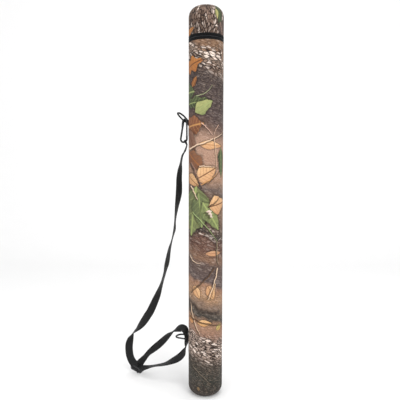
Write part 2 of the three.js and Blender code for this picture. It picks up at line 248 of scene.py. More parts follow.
def outward(made):
    """Turns every closed shell's faces outwards."""
    faced_out(made.data)
    return made


def softened(made, width, segments=2, angle=35):
    """Rounds the edges of a piece and keeps its flats flat in the shading."""
    edge = made.modifiers.new("edge", "BEVEL")
    edge.width = width
    edge.segments = segments
    edge.limit_method = "ANGLE"
    edge.angle_limit = math.radians(angle)
    edge.harden_normals = True
    return made


def merged(name, parts):
    """One object from several that share a material."""
    vertices, faces = [], []
    material = parts[0].data.materials[0]
    for part in parts:
        start = len(vertices)
        vertices += [part.matrix_world @ v.co for v in part.data.vertices]
        faces += [[start + i for i in p.vertices] for p in part.data.polygons]
        bpy.data.objects.remove(part)
    return new_object(name, vertices, faces, material)


def tube_faces(start, rings, sides, closed=False):
    """Faces of a tube whose points run ring by ring from start: joined end to end, or capped."""
    faces = []
    for i in range(rings if closed else rings - 1):
        here, there = start + i * sides, start + (i + 1) % rings * sides
        faces += [[here + k, here + (k + 1) % sides, there + (k + 1) % sides, there + k]
                  for k in range(sides)]
    if not closed:
        faces.append([start + k for k in range(sides)][::-1])
        faces.append([start + (rings - 1) * sides + k for k in range(sides)])
    return faces


def sheet_faces(rows, columns):
    """Faces of a thin closed sheet: a grid of points, a second grid behind it, and the rim between them."""
    wide = columns + 1
    size = (rows + 1) * wide
    faces = []
    for j in range(rows):
        for p in range(j * wide, j * wide + columns):
            quad = [p, p + 1, p + wide + 1, p + wide]
            faces += [quad, [size + v for v in quad[::-1]]]
    rim = list(range(columns))
    rim += [(j + 1) * wide - 1 for j in range(rows)]
    rim += [size - 1 - i for i in range(columns)]
    rim += [(rows - j) * wide for j in range(rows)]
    return faces + [[p, q, size + q, size + p] for p, q in zip(rim, rim[1:] + rim[:1])]


def sweep(name, frames, section, material, closed=False):
    """A skin through a section, given as (side, up) offsets, at every frame (centre, side, up)."""
    vertices = [c + side * a + up * b for c, side, up in frames for a, b in section]
    faces = tube_faces(0, len(frames), len(section), closed)
    return outward(new_object(name, vertices, faces, material))


def round_place(radius, angle, z=0.0):
    """A point round the Z axis."""
    return Vector((radius * math.cos(angle), radius * math.sin(angle), z))


def quarter(steps):
    """Angles from 0 to a right angle, in radians."""
    return [math.pi / 2 * k / steps for k in range(steps + 1)]


def round_section(radius, sides=16):
    return [(radius * math.cos(2 * math.pi * k / sides), radius * math.sin(2 * math.pi * k / sides))
            for k in range(sides)]


def flat_section(width, thickness, edge_steps=3, flat_steps=8):
    """A webbing section: flat faces and half-round edges."""
    half, r = width / 2 - thickness / 2, thickness / 2
    points = [(-half + 2 * half * i / flat_steps, r) for i in range(flat_steps + 1)]
    points += [(half + r * math.sin(a), r * math.cos(a))
               for a in [math.pi * i / (edge_steps + 1) for i in range(1, edge_steps + 1)]]
    return points + [(-a, -b) for a, b in points]


def wire_frames(points, normal, closed=False):
    """Frames along a line of points that lies in the plane across the normal."""
    frames = []
    last = len(points) - 1
    for i, p in enumerate(points):
        before = points[i - 1] if closed or i else p
        after = points[(i + 1) % len(points)] if closed or i < last else p
        along = (after - before).normalized()
        frames.append((p, along.cross(normal).normalized(), normal))
    return frames


def rounded_line(corners, steps=8):
    """2D corners (x, y, radius) as points, with every inner corner rounded."""
    points = [Vector(corners[0][:2])]
    for i in range(1, len(corners) - 1):
        corner, radius = Vector(corners[i][:2]), corners[i][2]
        back = (Vector(corners[i - 1][:2]) - corner).normalized()
        ahead = (Vector(corners[i + 1][:2]) - corner).normalized()
        half = back.angle(ahead) / 2
        centre = corner + (back + ahead).normalized() * radius / math.sin(half)
        start = corner + back * radius / math.tan(half) - centre
        end = corner + ahead * radius / math.tan(half) - centre
        turn = math.atan2(start.x * end.y - start.y * end.x, start.dot(end))
        for k in range(steps + 1):
            spoke = start.copy()
            spoke.rotate(Matrix.Rotation(turn * k / steps, 2))
            points.append(centre + spoke)
    points.append(Vector(corners[-1][:2]))
    return points


def turned(name, profile, material, steps=96, start=0.0, end=360.0, wobble=0.0, seed=0.0):
    """A body of revolution about +Z, or part of one, from a closed loop of (radius, z) in millimetres."""
    whole = end - start >= 360
    rows = steps if whole else steps + 1
    vertices, faces = [], []
    for i in range(rows):
        a = math.radians(start + (end - start) * i / steps)
        for r, z in profile:
            p = round_place(r, a, z)
            if wobble and r > 1:
                push = noise.noise(Vector((p.x * 0.035 + seed, p.y * 0.035, p.z * 0.018))) * wobble
                p.x, p.y = p.x + push * math.cos(a), p.y + push * math.sin(a)
            vertices.append(p * MM)
    count = len(profile)
    for i in range(steps):
        here, there = i * count, ((i + 1) % rows) * count
        for k in range(count):
            faces.append([here + k, there + k, there + (k + 1) % count, here + (k + 1) % count])
    if not whole:
        faces.append(list(range(count)))
        faces.append([steps * count + k for k in range(count)][::-1])
    made = new_object(name, vertices, faces, material)
    faced_out(made.data, weld=1e-7)
    return made


def rounded_band(inner, outer, low, high, edge=0.4, steps=3):
    """A closed loop of (radius, z) for a band whose four edges are rounded."""
    loop = []
    corners = [(outer - edge, low + edge, -90), (outer - edge, high - edge, 0),
               (inner + edge, high - edge, 90), (inner + edge, low + edge, 180)]
    for r, z, from_deg in corners:
        for k in range(steps + 1):
            a = math.radians(from_deg + 90 * k / steps)
            loop.append((r + edge * math.cos(a), z + edge * math.sin(a)))
    return loop


# ---------- the strap side's own frame: outward, sideways, up ----------
HARDWARE_TURN = Matrix.Rotation(math.radians(152), 3, "Z")


def side(x, y, z):
    """A point of the strap side's frame, in millimetres, as a place in metres."""
    return HARDWARE_TURN @ Vector((x, y, z)) * MM


def side_way(x, y, z):
    return HARDWARE_TURN @ Vector((x, y, z))


# ---------- materials ----------
def new_group(name, **inputs):
    """A node group that gives one colour: its tree, its Nodes and the inputs that it is given."""
    tree = bpy.data.node_groups.new(name, "ShaderNodeTree")
    for socket, kind in inputs.items():
        tree.interface.new_socket(socket, in_out="INPUT", socket_type="NodeSocket" + kind)
    tree.interface.new_socket("Color", in_out="OUTPUT", socket_type="NodeSocketColor")
    n = Nodes(tree)
    return tree, n, n.node("NodeGroupInput").outputs


def leaf_group():
    """A leaf on the print: P runs from 0 at the stem to 1 at the tip, and from -1 to 1 across."""
    tree, n, given = new_group("leaf", Base="Color", P="Vector", Lobes="Float", Depth="Float",
                               Light="Color", Dark="Color", Vein="Color")
    x, y, _ = n.split(given["P"])
    ragged = n.noise(given["P"], 5.0, 2.0, 0.6)
    away = n.math("ADD", n.math("ABSOLUTE", y), n.math("MULTIPLY_ADD", ragged[0], 0.34, -0.17))
    beyond = n.math("MAXIMUM", n.math("SUBTRACT", x, 1.0), n.math("MULTIPLY", x, -1.0))
    beyond = n.math("MAXIMUM", beyond, 0.0)
    away = n.math("MULTIPLY_ADD", beyond, 5.0, n.math("MAXIMUM", away, 0.0))
    inside = n.math("MULTIPLY", x, n.math("GREATER_THAN", x, 0.0))
    swell = n.math("SINE", n.math("MULTIPLY", n.math("POWER", n.math("MINIMUM", inside, 1.0), 0.8), math.pi))
    waves = n.math("COSINE", n.math("MULTIPLY", n.math("MULTIPLY", x, given["Lobes"]), 2 * math.pi))
    notch = n.math("MULTIPLY", n.math("MULTIPLY_ADD", waves, 0.5, 0.5), given["Depth"])
    width = n.math("MULTIPLY", swell, n.math("SUBTRACT", 1.0, notch))
    deep = n.math("SUBTRACT", width, away)
    mask = n.smooth(deep, 0.0, 0.06)
    shade = n.smooth(deep, -0.35, 0.05, 0.0, 0.6)
    under = n.mix(shade, given["Base"], srgb(34, 26, 22))
    slanted = n.math("SUBTRACT", n.math("MULTIPLY", x, 7.0), n.math("MULTIPLY", away, 1.6))
    rib = n.math("ABSOLUTE", n.math("SUBTRACT", n.math("FRACT", slanted), 0.5))
    ribs = n.smooth(rib, 0.02, 0.1, 0.5, 0.0)
    middle = n.smooth(n.math("ABSOLUTE", y), 0.03, 0.09, 0.9, 0.0)
    mottled = n.math("MULTIPLY_ADD", ragged[0], 1.3, -0.2)
    tone = n.math("ADD", n.math("MULTIPLY", y, 0.35), mottled, clamp=True)
    flesh = n.mix(tone, given["Dark"], given["Light"])
    veined = n.mix(n.math("MAXIMUM", ribs, middle), flesh, given["Vein"])
    result = n.node("NodeGroupOutput")
    n.put(result.inputs["Color"], n.mix(mask, under, veined))
    return tree


def twig_group():
    """A twig on the print: P runs from 0 to 1 along it, and in half widths across it."""
    tree, n, given = new_group("twig", Base="Color", P="Vector", Bend="Float", Light="Color", Dark="Color")
    x, y, _ = n.split(given["P"])
    crook = n.noise(n.join(x, 0.0), 6.0, 2.0, 0.5)[0]
    arch = n.math("MULTIPLY", n.math("SINE", n.math("MULTIPLY", x, math.pi)), given["Bend"])
    middle = n.math("ADD", arch, n.math("MULTIPLY_ADD", crook, 5.0, -2.5))
    off = n.math("SUBTRACT", y, middle)
    ends = n.math("MULTIPLY", n.math("GREATER_THAN", x, 0.0), n.math("LESS_THAN", x, 1.0))
    width = n.math("MULTIPLY", n.math("SUBTRACT", 1.25, n.math("MULTIPLY", x, 0.75)), ends)
    mask = n.smooth(n.math("SUBTRACT", width, n.math("ABSOLUTE", off)), 0.0, 0.4)
    below = n.math("SUBTRACT", width, n.math("ABSOLUTE", n.math("ADD", off, 1.3)))
    shade = n.math("MULTIPLY", n.smooth(below, -1.2, 0.4, 0.0, 0.65), ends)
    under = n.mix(shade, given["Base"], srgb(38, 28, 24))
    tone = n.math("MULTIPLY_ADD", off, 0.45, 0.6, clamp=True)
    result = n.node("NodeGroupOutput")
    n.put(result.inputs["Color"], n.mix(mask, under, n.mix(tone, given["Dark"], given["Light"])))
    return tree


LEAF_SHARE, ZONE_SHARE = 0.84, 0.82     # the print's leaves and zones are dimmed to these shares
LEAF = leaf_group()
TWIG = twig_group()


def after(n, base, print_place):
    """The print's place with a trace of the base colour in it, too small to see. It makes the renderer work
    the layers out one after the other, because it has room for only a few at once."""
    return n.vector("MULTIPLY_ADD", base, (1e-8, 1e-8, 0.0), print_place)


def laid(n, tree, **values):
    """A node group in a material, with its inputs given by name."""
    made = n.node("ShaderNodeGroup", node_tree=tree)
    for name, value in values.items():
        n.put(made.inputs[name], value)
    return made.outputs[0]


def lay_leaf(n, base, print_place, stem, turn_deg, length, half, lobes, depth, *colours):
    """One leaf over the base colour. Stem is its place on the print, in metres, turn is from the print's +u,
    and the colours are its light, its dark and its veins."""
    place = after(n, base, print_place)
    place = n.mapped(place, (*stem, 0), math.radians(turn_deg), (length, half, 1), "TEXTURE")
    light, dark, vein = [dimmed(colour, LEAF_SHARE) for colour in colours]
    return laid(n, LEAF, P=place, Base=base, Lobes=lobes, Depth=depth, Light=light, Dark=dark, Vein=vein)


def lay_twig(n, base, print_place, start, end, half, bend, light, dark):
    """One twig from start to end over the base colour, arched by bend metres."""
    run = Vector(end) - Vector(start)
    turn = math.atan2(run.y, run.x)
    place = after(n, base, print_place)
    place = n.mapped(place, (*start, 0), turn, (run.length, half, 1), "TEXTURE")
    return laid(n, TWIG, P=place, Base=base, Bend=bend / half, Light=light, Dark=dark)


def bark(n, print_place, turn_deg, plate, stretch, base, chips, contrast):
    """Bark plates with dark fissures over the base colour. Chips and contrast run from 0 to 1."""
    bent = n.noise(print_place, 38.0, 2.0, 0.5)[1]
    centred = n.vector("SUBTRACT", bent, (0.5, 0.5, 0.5))
    pushed = n.vector("MULTIPLY_ADD", centred, (0.010, 0.010, 0.0), print_place)
    grain = n.mapped(pushed, (0, 0, 0), math.radians(turn_deg), (plate * stretch, plate, 1), "TEXTURE")
    edge = n.cells(grain, 1.0, "DISTANCE_TO_EDGE")[0]
    cell = n.split(n.cells(grain, 1.0)["Color"])[0]
    fissure = n.smooth(edge, 0.03, 0.16, 1.0, 0.0)
    streaks = n.noise(grain, 3.2, 3.0, 0.65)[0]
    raised = n.math("ADD", cell, n.math("MULTIPLY", edge, 1.1))
    lit = n.math("MULTIPLY", n.smooth(raised, 0.7, 1.1), chips)
    pale = n.mix(lit, base, srgb(236, 220, 208))
    stained = n.math("MULTIPLY", n.smooth(streaks, 0.42, 0.68), 0.5)
    toned = n.mix(stained, pale, srgb(84, 62, 52), "MULTIPLY")
    lifted = n.mix(n.math("MULTIPLY", n.smooth(streaks, 0.4, 0.3), 0.3), toned, srgb(190, 172, 158))
    return n.mix(n.math("MULTIPLY", fissure, contrast), lifted, srgb(34, 24, 20))


def weave(n, vector, pitch):
    """Height of a plain weave with that thread pitch in metres."""
    x, y, _ = n.split(vector)
    across = n.math("SINE", n.math("MULTIPLY", x, 2 * math.pi / pitch))
    along = n.math("SINE", n.math("MULTIPLY", y, 2 * math.pi / pitch))
    return n.math("MULTIPLY", across, along)


def cloth_finish(n, shader, print_place, colour):
    """Face fabric: the print with its threads, a little wear and a soft sheen."""
    print_place = after(n, colour, print_place)
    threads = weave(n, print_place, 0.0011)
    dye = n.noise(print_place, 900.0, 1.0, 0.5)[0]
    dyed = n.mix(n.math("MULTIPLY", dye, 0.16), colour, srgb(120, 110, 100), "OVERLAY")
    n.put(shader.inputs["Base Color"], dyed)
    soft = n.noise(print_place, 26.0, 3.0, 0.6)[0]
    n.put(shader.inputs["Roughness"], n.smooth(soft, 0.3, 0.7, 0.72, 0.88))
    bump(n, shader, n.math("MULTIPLY_ADD", soft, 3.0, threads), 0.00012, 0.6)


# Print colours
MOSS_DARK, MOSS, MOSS_LIGHT = srgb(52, 58, 44), srgb(92, 101, 68), srgb(154, 166, 108)
LIME = srgb(196, 200, 124)
RUST, RUST_DARK, AMBER = srgb(160, 100, 56), srgb(100, 62, 42), srgb(196, 144, 88)
PEACH, PEACH_DARK = srgb(236, 196, 146), srgb(196, 144, 104)
ROSE = srgb(178, 146, 128)
TWIG_PALE, TWIG_SHADE = srgb(236, 212, 184), srgb(142, 110, 88)
TWIG_DARK, TWIG_BLACK = srgb(98, 72, 52), srgb(46, 34, 28)
PLUM_GREY, SLATE = srgb(104, 90, 88), srgb(66, 64, 60)
LEAF_OLIVE, BASE_SPOT = srgb(184, 184, 122), srgb(146, 122, 88)
# The three green leaves at mid height: light, dark and veins
LEAF_BIG = srgb(138, 144, 94), srgb(84, 90, 66), srgb(160, 172, 106)
LEAF_MIDDLE = srgb(122, 130, 86), srgb(84, 92, 66), srgb(146, 158, 100)
LEAF_FRONT = srgb(148, 156, 100), srgb(98, 108, 72), srgb(164, 176, 110)


def zone_height(n, print_place, scale, detail, ragged, top):
    """Height on the print as a share of its top, sloping down to the right, with a ragged edge in metres."""
    u, v, _ = n.split(print_place)
    wander = n.noise(print_place, scale, detail, 0.62)[0]
    height = n.math("ADD", v, n.math("MULTIPLY_ADD", wander, 2 * ragged, -ragged))
    return n.math("DIVIDE", n.math("MULTIPLY_ADD", u, 0.3, height), top)


def print_material(name, colour):
    """A cloth material that is printed by its piece's own map."""
    material, n, shader = new_material(name, colour, 0.8, specular=0.2, Sheen_Weight=0.03)
    return material, n, shader, n.node("ShaderNodeUVMap", uv_map="print").outputs[0]


def print_over(n, shader, print_place, colour, leaves, twigs):
    """Lays the leaves and then the twigs over the ground colour, and weaves the cloth."""
    for leaf in leaves:
        colour = lay_leaf(n, colour, print_place, *leaf)
    for twig in twigs:
        colour = lay_twig(n, colour, print_place, *twig)
    cloth_finish(n, shader, print_place, colour)


def body_print():
    """The case's print: zones of bark, leaf litter and twigs from its base up to the band."""
    material, n, shader, print_place = print_material("camo_fabric_body", srgb(120, 104, 92))
    top = 1.06
    zones = [
        # place up the print, colour
        (0.00, srgb(64, 58, 54)), (0.06, srgb(58, 60, 54)), (0.108, srgb(80, 72, 64)),
        (0.124, srgb(170, 150, 138)), (0.175, srgb(176, 156, 144)), (0.192, srgb(170, 132, 112)),
        (0.228, srgb(178, 138, 110)), (0.243, SLATE), (0.262, srgb(96, 86, 76)), (0.285, srgb(150, 124, 106)),
        (0.305, srgb(188, 148, 112)), (0.342, srgb(172, 130, 104)), (0.355, PLUM_GREY),
        (0.405, srgb(104, 86, 80)), (0.418, srgb(146, 112, 90)), (0.432, srgb(134, 100, 82)),
        (0.446, srgb(112, 80, 68)), (0.478, srgb(124, 92, 80)), (0.49, srgb(62, 58, 56)),
        (0.512, srgb(112, 94, 82)), (0.58, srgb(158, 124, 98)), (0.625, srgb(108, 94, 88)),
        (0.66, srgb(184, 146, 120)), (0.70, srgb(186, 148, 126)), (0.765, srgb(190, 154, 132)),
        (0.80, srgb(122, 96, 84)), (0.835, srgb(88, 74, 73)), (0.950, srgb(82, 71, 69)),
        (0.972, srgb(144, 118, 102)), (1.005, srgb(156, 136, 122)), (1.022, srgb(152, 117, 92)),
        (1.06, srgb(146, 112, 84)),
    ]
    ground = zone_height(n, print_place, 17.0, 4.0, 0.030, top)
    base = n.ramp(ground, [(z / top, dimmed(colour, ZONE_SHARE)) for z, colour in zones])
    height = zone_height(n, print_place, 12.0, 2.0, 0.022, top)
    chips = n.levels(height, [
        (0.0, 0.02), (0.1, 0.05), (0.118, 1.0), (0.168, 1.0), (0.185, 0.05), (0.445, 0.15), (0.465, 0.75),
        (0.49, 0.1), (0.895, 0.05), (0.92, 0.85), (0.96, 1.0), (0.98, 0.2)])
    contrast = n.levels(height, [
        (0.0, 0.35), (0.1, 0.5), (0.118, 1.0), (0.17, 1.0), (0.19, 0.2), (0.4, 0.3), (0.47, 0.8),
        (0.52, 0.35), (0.6, 0.1), (0.74, 0.08), (0.8, 0.4), (0.89, 0.55), (0.915, 1.0), (0.96, 0.95),
        (0.985, 0.4)])
    colour = bark(n, print_place, -20.0, 0.0060, 2.7, base, chips, contrast)
    streaky = after(n, colour, print_place)
    streaky = n.mapped(streaky, (0, 0, 0), math.radians(-20), (0.02, 0.004, 1), "TEXTURE")
    fine = n.noise(streaky, 1.6, 4.0, 0.7)[0]
    busy = n.math("MULTIPLY_ADD", contrast, 0.75, 0.3)
    dark_streaks = n.math("MULTIPLY", n.smooth(fine, 0.5, 0.66, 0.0, 0.7), busy)
    pale_streaks = n.math("MULTIPLY", n.smooth(fine, 0.46, 0.34, 0.0, 0.42), busy)
    colour = n.mix(dark_streaks, colour, srgb(50, 37, 32))
    colour = n.mix(pale_streaks, colour, srgb(214, 188, 164))

    leaves = [
        # stem (u, z), turn, length, half width, lobes, depth, light, dark, vein
        ((-0.080, 0.968), 17, 0.074, 0.028, 2.6, 0.45, srgb(190, 130, 72), RUST, RUST_DARK),
        ((-0.088, 0.900), 2, 0.052, 0.034, 1.6, 0.25, MOSS, MOSS_DARK, MOSS_LIGHT),
        ((-0.070, 0.868), 4, 0.088, 0.021, 3.2, 0.35, MOSS, MOSS_DARK, MOSS_LIGHT),
        ((-0.034, 0.842), 32, 0.062, 0.022, 1.8, 0.25, LEAF_OLIVE, srgb(122, 130, 84), MOSS_LIGHT),
        ((-0.046, 0.915), 60, 0.034, 0.010, 2.0, 0.30, RUST, RUST_DARK, AMBER),
        ((-0.084, 0.800), 8, 0.080, 0.036, 2.2, 0.35, srgb(150, 100, 74), RUST_DARK, AMBER),
        ((-0.066, 0.796), -64, 0.072, 0.019, 2.0, 0.25, srgb(140, 106, 88), srgb(110, 78, 64), RUST_DARK),
        ((-0.022, 0.752), -4, 0.078, 0.013, 1.4, 0.20, PEACH, PEACH_DARK, RUST),
        ((-0.066, 0.730), -40, 0.082, 0.027, 2.4, 0.30, srgb(142, 100, 74), srgb(104, 70, 54), RUST),
        ((-0.030, 0.650), 30, 0.072, 0.026, 1.5, 0.15, PEACH, PEACH_DARK, RUST_DARK),
        ((-0.068, 0.664), -34, 0.058, 0.018, 1.8, 0.20, srgb(222, 184, 134), PEACH_DARK, RUST_DARK),
        ((0.050, 0.742), -88, 0.085, 0.016, 2.0, 0.25, MOSS, MOSS_DARK, MOSS_LIGHT),
        ((-0.030, 0.632), -98, 0.150, 0.056, 2.2, 0.20, *LEAF_BIG),
        ((-0.022, 0.612), -84, 0.102, 0.030, 1.6, 0.15, *LEAF_MIDDLE),
        ((-0.010, 0.586), -58, 0.098, 0.026, 1.6, 0.20, *LEAF_FRONT),
        ((0.008, 0.572), 12, 0.068, 0.029, 1.5, 0.25, PEACH, PEACH_DARK, RUST_DARK),
        ((-0.002, 0.436), 0, 0.056, 0.008, 1.0, 0.15, srgb(208, 164, 128), PEACH_DARK, RUST_DARK),
        ((-0.038, 0.340), -62, 0.044, 0.012, 1.0, 0.10, PEACH, PEACH_DARK, RUST_DARK),
        ((0.006, 0.342), -66, 0.048, 0.014, 1.0, 0.10, srgb(226, 184, 136), PEACH_DARK, RUST_DARK),
        ((-0.064, 0.236), 0, 0.036, 0.011, 1.0, 0.10, AMBER, PEACH_DARK, RUST_DARK),
        ((-0.026, 0.231), -2, 0.046, 0.010, 1.0, 0.15, PEACH, AMBER, RUST_DARK),
        ((0.034, 0.206), 34, 0.028, 0.009, 1.0, 0.10, LIME, AMBER, RUST_DARK),
        ((-0.024, 0.036), -70, 0.014, 0.0045, 1.0, 0.10, BASE_SPOT, srgb(100, 84, 66), RUST_DARK),
        # round the sides and the back
        ((0.120, 0.985), -120, 0.070, 0.020, 2.6, 0.40, AMBER, RUST, RUST_DARK),
        ((0.128, 0.905), -100, 0.110, 0.028, 3.0, 0.35, MOSS, MOSS_DARK, LIME),
        ((0.085, 0.640), -60, 0.080, 0.022, 2.2, 0.35, AMBER, RUST_DARK, PEACH),
        ((0.140, 0.560), -110, 0.130, 0.030, 3.0, 0.35, srgb(132, 150, 86), MOSS_DARK, LIME),
        ((0.095, 0.420), -80, 0.070, 0.018, 2.0, 0.20, PEACH, PEACH_DARK, RUST_DARK),
        ((0.120, 0.285), -50, 0.080, 0.022, 2.4, 0.35, AMBER, RUST_DARK, PEACH),
        ((-0.105, 0.985), -70, 0.080, 0.020, 2.2, 0.30, MOSS, MOSS_DARK, LIME),
        ((-0.150, 0.760), -60, 0.110, 0.028, 3.0, 0.35, AMBER, RUST_DARK, PEACH),
        ((-0.135, 0.560), -40, 0.090, 0.022, 2.0, 0.20, PEACH, PEACH_DARK, RUST_DARK),
        ((-0.110, 0.420), -80, 0.110, 0.028, 2.8, 0.35, MOSS, MOSS_DARK, LIME),
        ((-0.140, 0.230), -20, 0.070, 0.018, 2.0, 0.25, AMBER, RUST, RUST_DARK),
    ]
    twigs = [
        # start (u, z), end, half width, arch, light, dark
        ((-0.030, 0.888), (0.018, 0.918), 0.0011, -0.008, srgb(190, 196, 150), MOSS_DARK),
        ((-0.014, 0.812), (0.020, 0.776), 0.0013, 0.002, srgb(220, 184, 168), TWIG_SHADE),
        ((0.040, 0.808), (0.022, 0.774), 0.0011, -0.003, srgb(214, 180, 160), TWIG_SHADE),
        ((-0.062, 0.738), (0.070, 0.790), 0.0020, -0.004, TWIG_PALE, TWIG_SHADE),
        ((0.024, 0.770), (0.030, 0.664), 0.0011, 0.003, srgb(226, 196, 166), TWIG_SHADE),
        ((-0.020, 0.689), (0.028, 0.686), 0.0014, 0.001, TWIG_PALE, TWIG_SHADE),
        ((-0.014, 0.636), (0.042, 0.676), 0.0016, -0.004, AMBER, TWIG_DARK),
        ((-0.050, 0.700), (-0.010, 0.626), 0.0030, 0.002, srgb(150, 116, 100), TWIG_BLACK),
        ((-0.052, 0.632), (-0.026, 0.592), 0.0026, 0.002, TWIG_PALE, TWIG_SHADE),
        ((-0.044, 0.556), (0.036, 0.470), 0.0013, 0.005, srgb(176, 196, 130), MOSS_DARK),
        ((0.004, 0.572), (0.044, 0.600), 0.0015, -0.003, TWIG_DARK, TWIG_BLACK),
        ((0.006, 0.562), (0.017, 0.540), 0.0055, 0.002, srgb(218, 202, 192), srgb(180, 152, 136)),
        ((0.036, 0.470), (0.040, 0.400), 0.0020, -0.003, srgb(150, 136, 110), TWIG_BLACK),
        ((-0.058, 0.428), (-0.016, 0.406), 0.0018, -0.006, TWIG_PALE, TWIG_SHADE),
        ((0.026, 0.392), (-0.052, 0.314), 0.0020, 0.004, TWIG_DARK, TWIG_BLACK),
        ((0.038, 0.392), (0.006, 0.300), 0.0022, 0.003, TWIG_PALE, TWIG_SHADE),
        ((0.030, 0.346), (0.014, 0.296), 0.0014, 0.001, PEACH, TWIG_DARK),
        ((-0.058, 0.306), (-0.018, 0.196), 0.0026, -0.005, srgb(226, 200, 172), TWIG_SHADE),
        ((-0.062, 0.300), (0.050, 0.262), 0.0050, -0.008, srgb(122, 104, 90), TWIG_BLACK),
        ((-0.060, 0.246), (0.056, 0.218), 0.0016, -0.002, TWIG_DARK, TWIG_BLACK),
        ((-0.040, 0.094), (0.016, 0.044), 0.0012, 0.002, srgb(130, 120, 104), TWIG_BLACK),
        ((0.070, 0.760), (0.150, 0.690), 0.0020, 0.006, TWIG_PALE, TWIG_SHADE),
        ((0.085, 0.500), (0.155, 0.395), 0.0022, -0.006, TWIG_PALE, TWIG_SHADE),
        ((-0.155, 0.680), (-0.075, 0.600), 0.0022, 0.006, TWIG_PALE, TWIG_SHADE),
        ((-0.150, 0.350), (-0.080, 0.280), 0.0020, 0.004, TWIG_PALE, TWIG_SHADE),
    ]
    print_over(n, shader, print_place, colour, leaves, twigs)
    return material


def lid_print():
    """The lid's print: upright bark with a few leaves."""
    material, n, shader, print_place = print_material("camo_fabric_lid", srgb(130, 114, 102))
    tone = n.noise(print_place, 22.0, 3.0, 0.6)[0]
    base = n.ramp(tone, [(0.3, srgb(84, 67, 57)), (0.5, srgb(114, 93, 80)), (0.7, srgb(136, 113, 99))])
    chips = n.smooth(n.noise(print_place, 30.0, 2.0, 0.5)[0], 0.35, 0.7, 0.1, 0.9)
    colour = bark(n, print_place, 84.0, 0.0052, 2.6, base, chips, 1.0)
    leaves = [
        ((0.036, 1.150), -82, 0.080, 0.013, 1.5, 0.20, srgb(78, 86, 62), MOSS_DARK, srgb(112, 122, 82)),
        ((0.029, 1.132), -80, 0.030, 0.006, 1.0, 0.10, LIME, MOSS, PEACH),
        ((-0.086, 1.062), 22, 0.052, 0.012, 1.6, 0.25, AMBER, RUST, RUST_DARK),
        ((0.044, 1.098), -70, 0.050, 0.016, 1.5, 0.20, srgb(96, 78, 72), srgb(60, 52, 52), ROSE),
        ((0.125, 1.140), -100, 0.075, 0.022, 2.4, 0.35, AMBER, RUST_DARK, PEACH),
        ((-0.130, 1.130), -80, 0.070, 0.022, 2.4, 0.35, MOSS, MOSS_DARK, LIME),
    ]
    twigs = [
        ((0.080, 1.070), (0.155, 1.130), 0.0018, 0.004, TWIG_PALE, TWIG_SHADE),
        ((-0.155, 1.080), (-0.085, 1.130), 0.0018, -0.004, TWIG_PALE, TWIG_SHADE),
    ]
    print_over(n, shader, print_place, colour, leaves, twigs)
    return material


def webbing_material(name, colour, worn, pitch, rough=0.62):
    """Woven tape: ribs across it and a chevron of threads, with paler rubbed ribs."""
    material, n, shader = new_material(name, colour, rough, specular=0.25,
                                       Sheen_Weight=0.06, Sheen_Roughness=0.4)
    place = n.node("ShaderNodeUVMap", uv_map="weave").outputs[0]
    x, y, _ = n.split(place)
    ribs = n.math("SINE", n.math("MULTIPLY", y, 2 * math.pi / pitch))
    slant = n.math("PINGPONG", x, pitch * 2)
    chevron = n.math("SINE", n.math("MULTIPLY", n.math("ADD", y, slant), 2 * math.pi / (pitch * 2)))
    height = n.math("ADD", n.math("MULTIPLY", ribs, 0.7), n.math("MULTIPLY", chevron, 0.6))
    fuzz = n.noise(place, 700.0, 2.0, 0.6)[0]
    patches = n.noise(place, 24.0, 3.0, 0.6)[0]
    rub = n.math("MULTIPLY", n.smooth(height, 0.2, 1.2), n.smooth(patches, 0.35, 0.7, 0.25, 1.0))
    n.put(shader.inputs["Base Color"], n.mix(rub, colour, worn))
    n.put(shader.inputs["Roughness"], n.smooth(fuzz, 0.3, 0.7, rough - 0.08, rough + 0.1))
    bump(n, shader, n.math("ADD", height, fuzz), 0.00025, 0.8)
    return material


LINING_RADIUS = 0.047                   # metres, where the plain weave's threads are true to size


def plain_weave_material(name, colour, worn, pitch, rough=0.8):
    """Lining or binding cloth, woven from the piece's own place."""
    material, n, shader = new_material(name, colour, rough, specular=0.12,
                                       Sheen_Weight=0.03, Sheen_Roughness=0.5)
    place = n.place()
    x, y, z = n.split(place)
    around = n.math("MULTIPLY", n.math("ARCTAN2", y, x), LINING_RADIUS)
    cloth = n.join(around, z)
    threads = weave(n, cloth, pitch)
    patches = n.noise(place, 30.0, 3.0, 0.6)[0]
    n.put(shader.inputs["Base Color"], n.mix(n.smooth(patches, 0.35, 0.7, 0.0, 0.8), colour, worn))
    n.put(shader.inputs["Roughness"], n.smooth(patches, 0.3, 0.7, rough, rough + 0.12))
    bump(n, shader, n.math("ADD", threads, n.noise(place, 500.0)[0]), 0.0002, 0.7)
    return material


def foam_material(name, colour, mottle_and_pore_shade):
    """Open foam, mottled darker at random and darker in its pores, where the darkening is painted shade."""
    material, n, shader = new_material(name, colour, 0.95, specular=0.2)
    place = n.place()
    holes = n.cells(place, 900.0)[0]
    tone = n.noise(place, 40.0, 3.0, 0.6)[0]
    mottled = n.mix(tone, colour, mottle_and_pore_shade)
    # Painted shade: the pores, which the bump sinks, are darkened towards the dark colour.
    n.put(shader.inputs["Base Color"], n.mix(n.smooth(holes, 0.1, 0.5, 0.6, 0.0), mottled, mottle_and_pore_shade))
    n.put(shader.inputs["Roughness"], n.smooth(tone, 0.3, 0.7, 0.88, 0.98))
    bump(n, shader, n.math("ADD", holes, tone), 0.0005, 0.7)
    return material


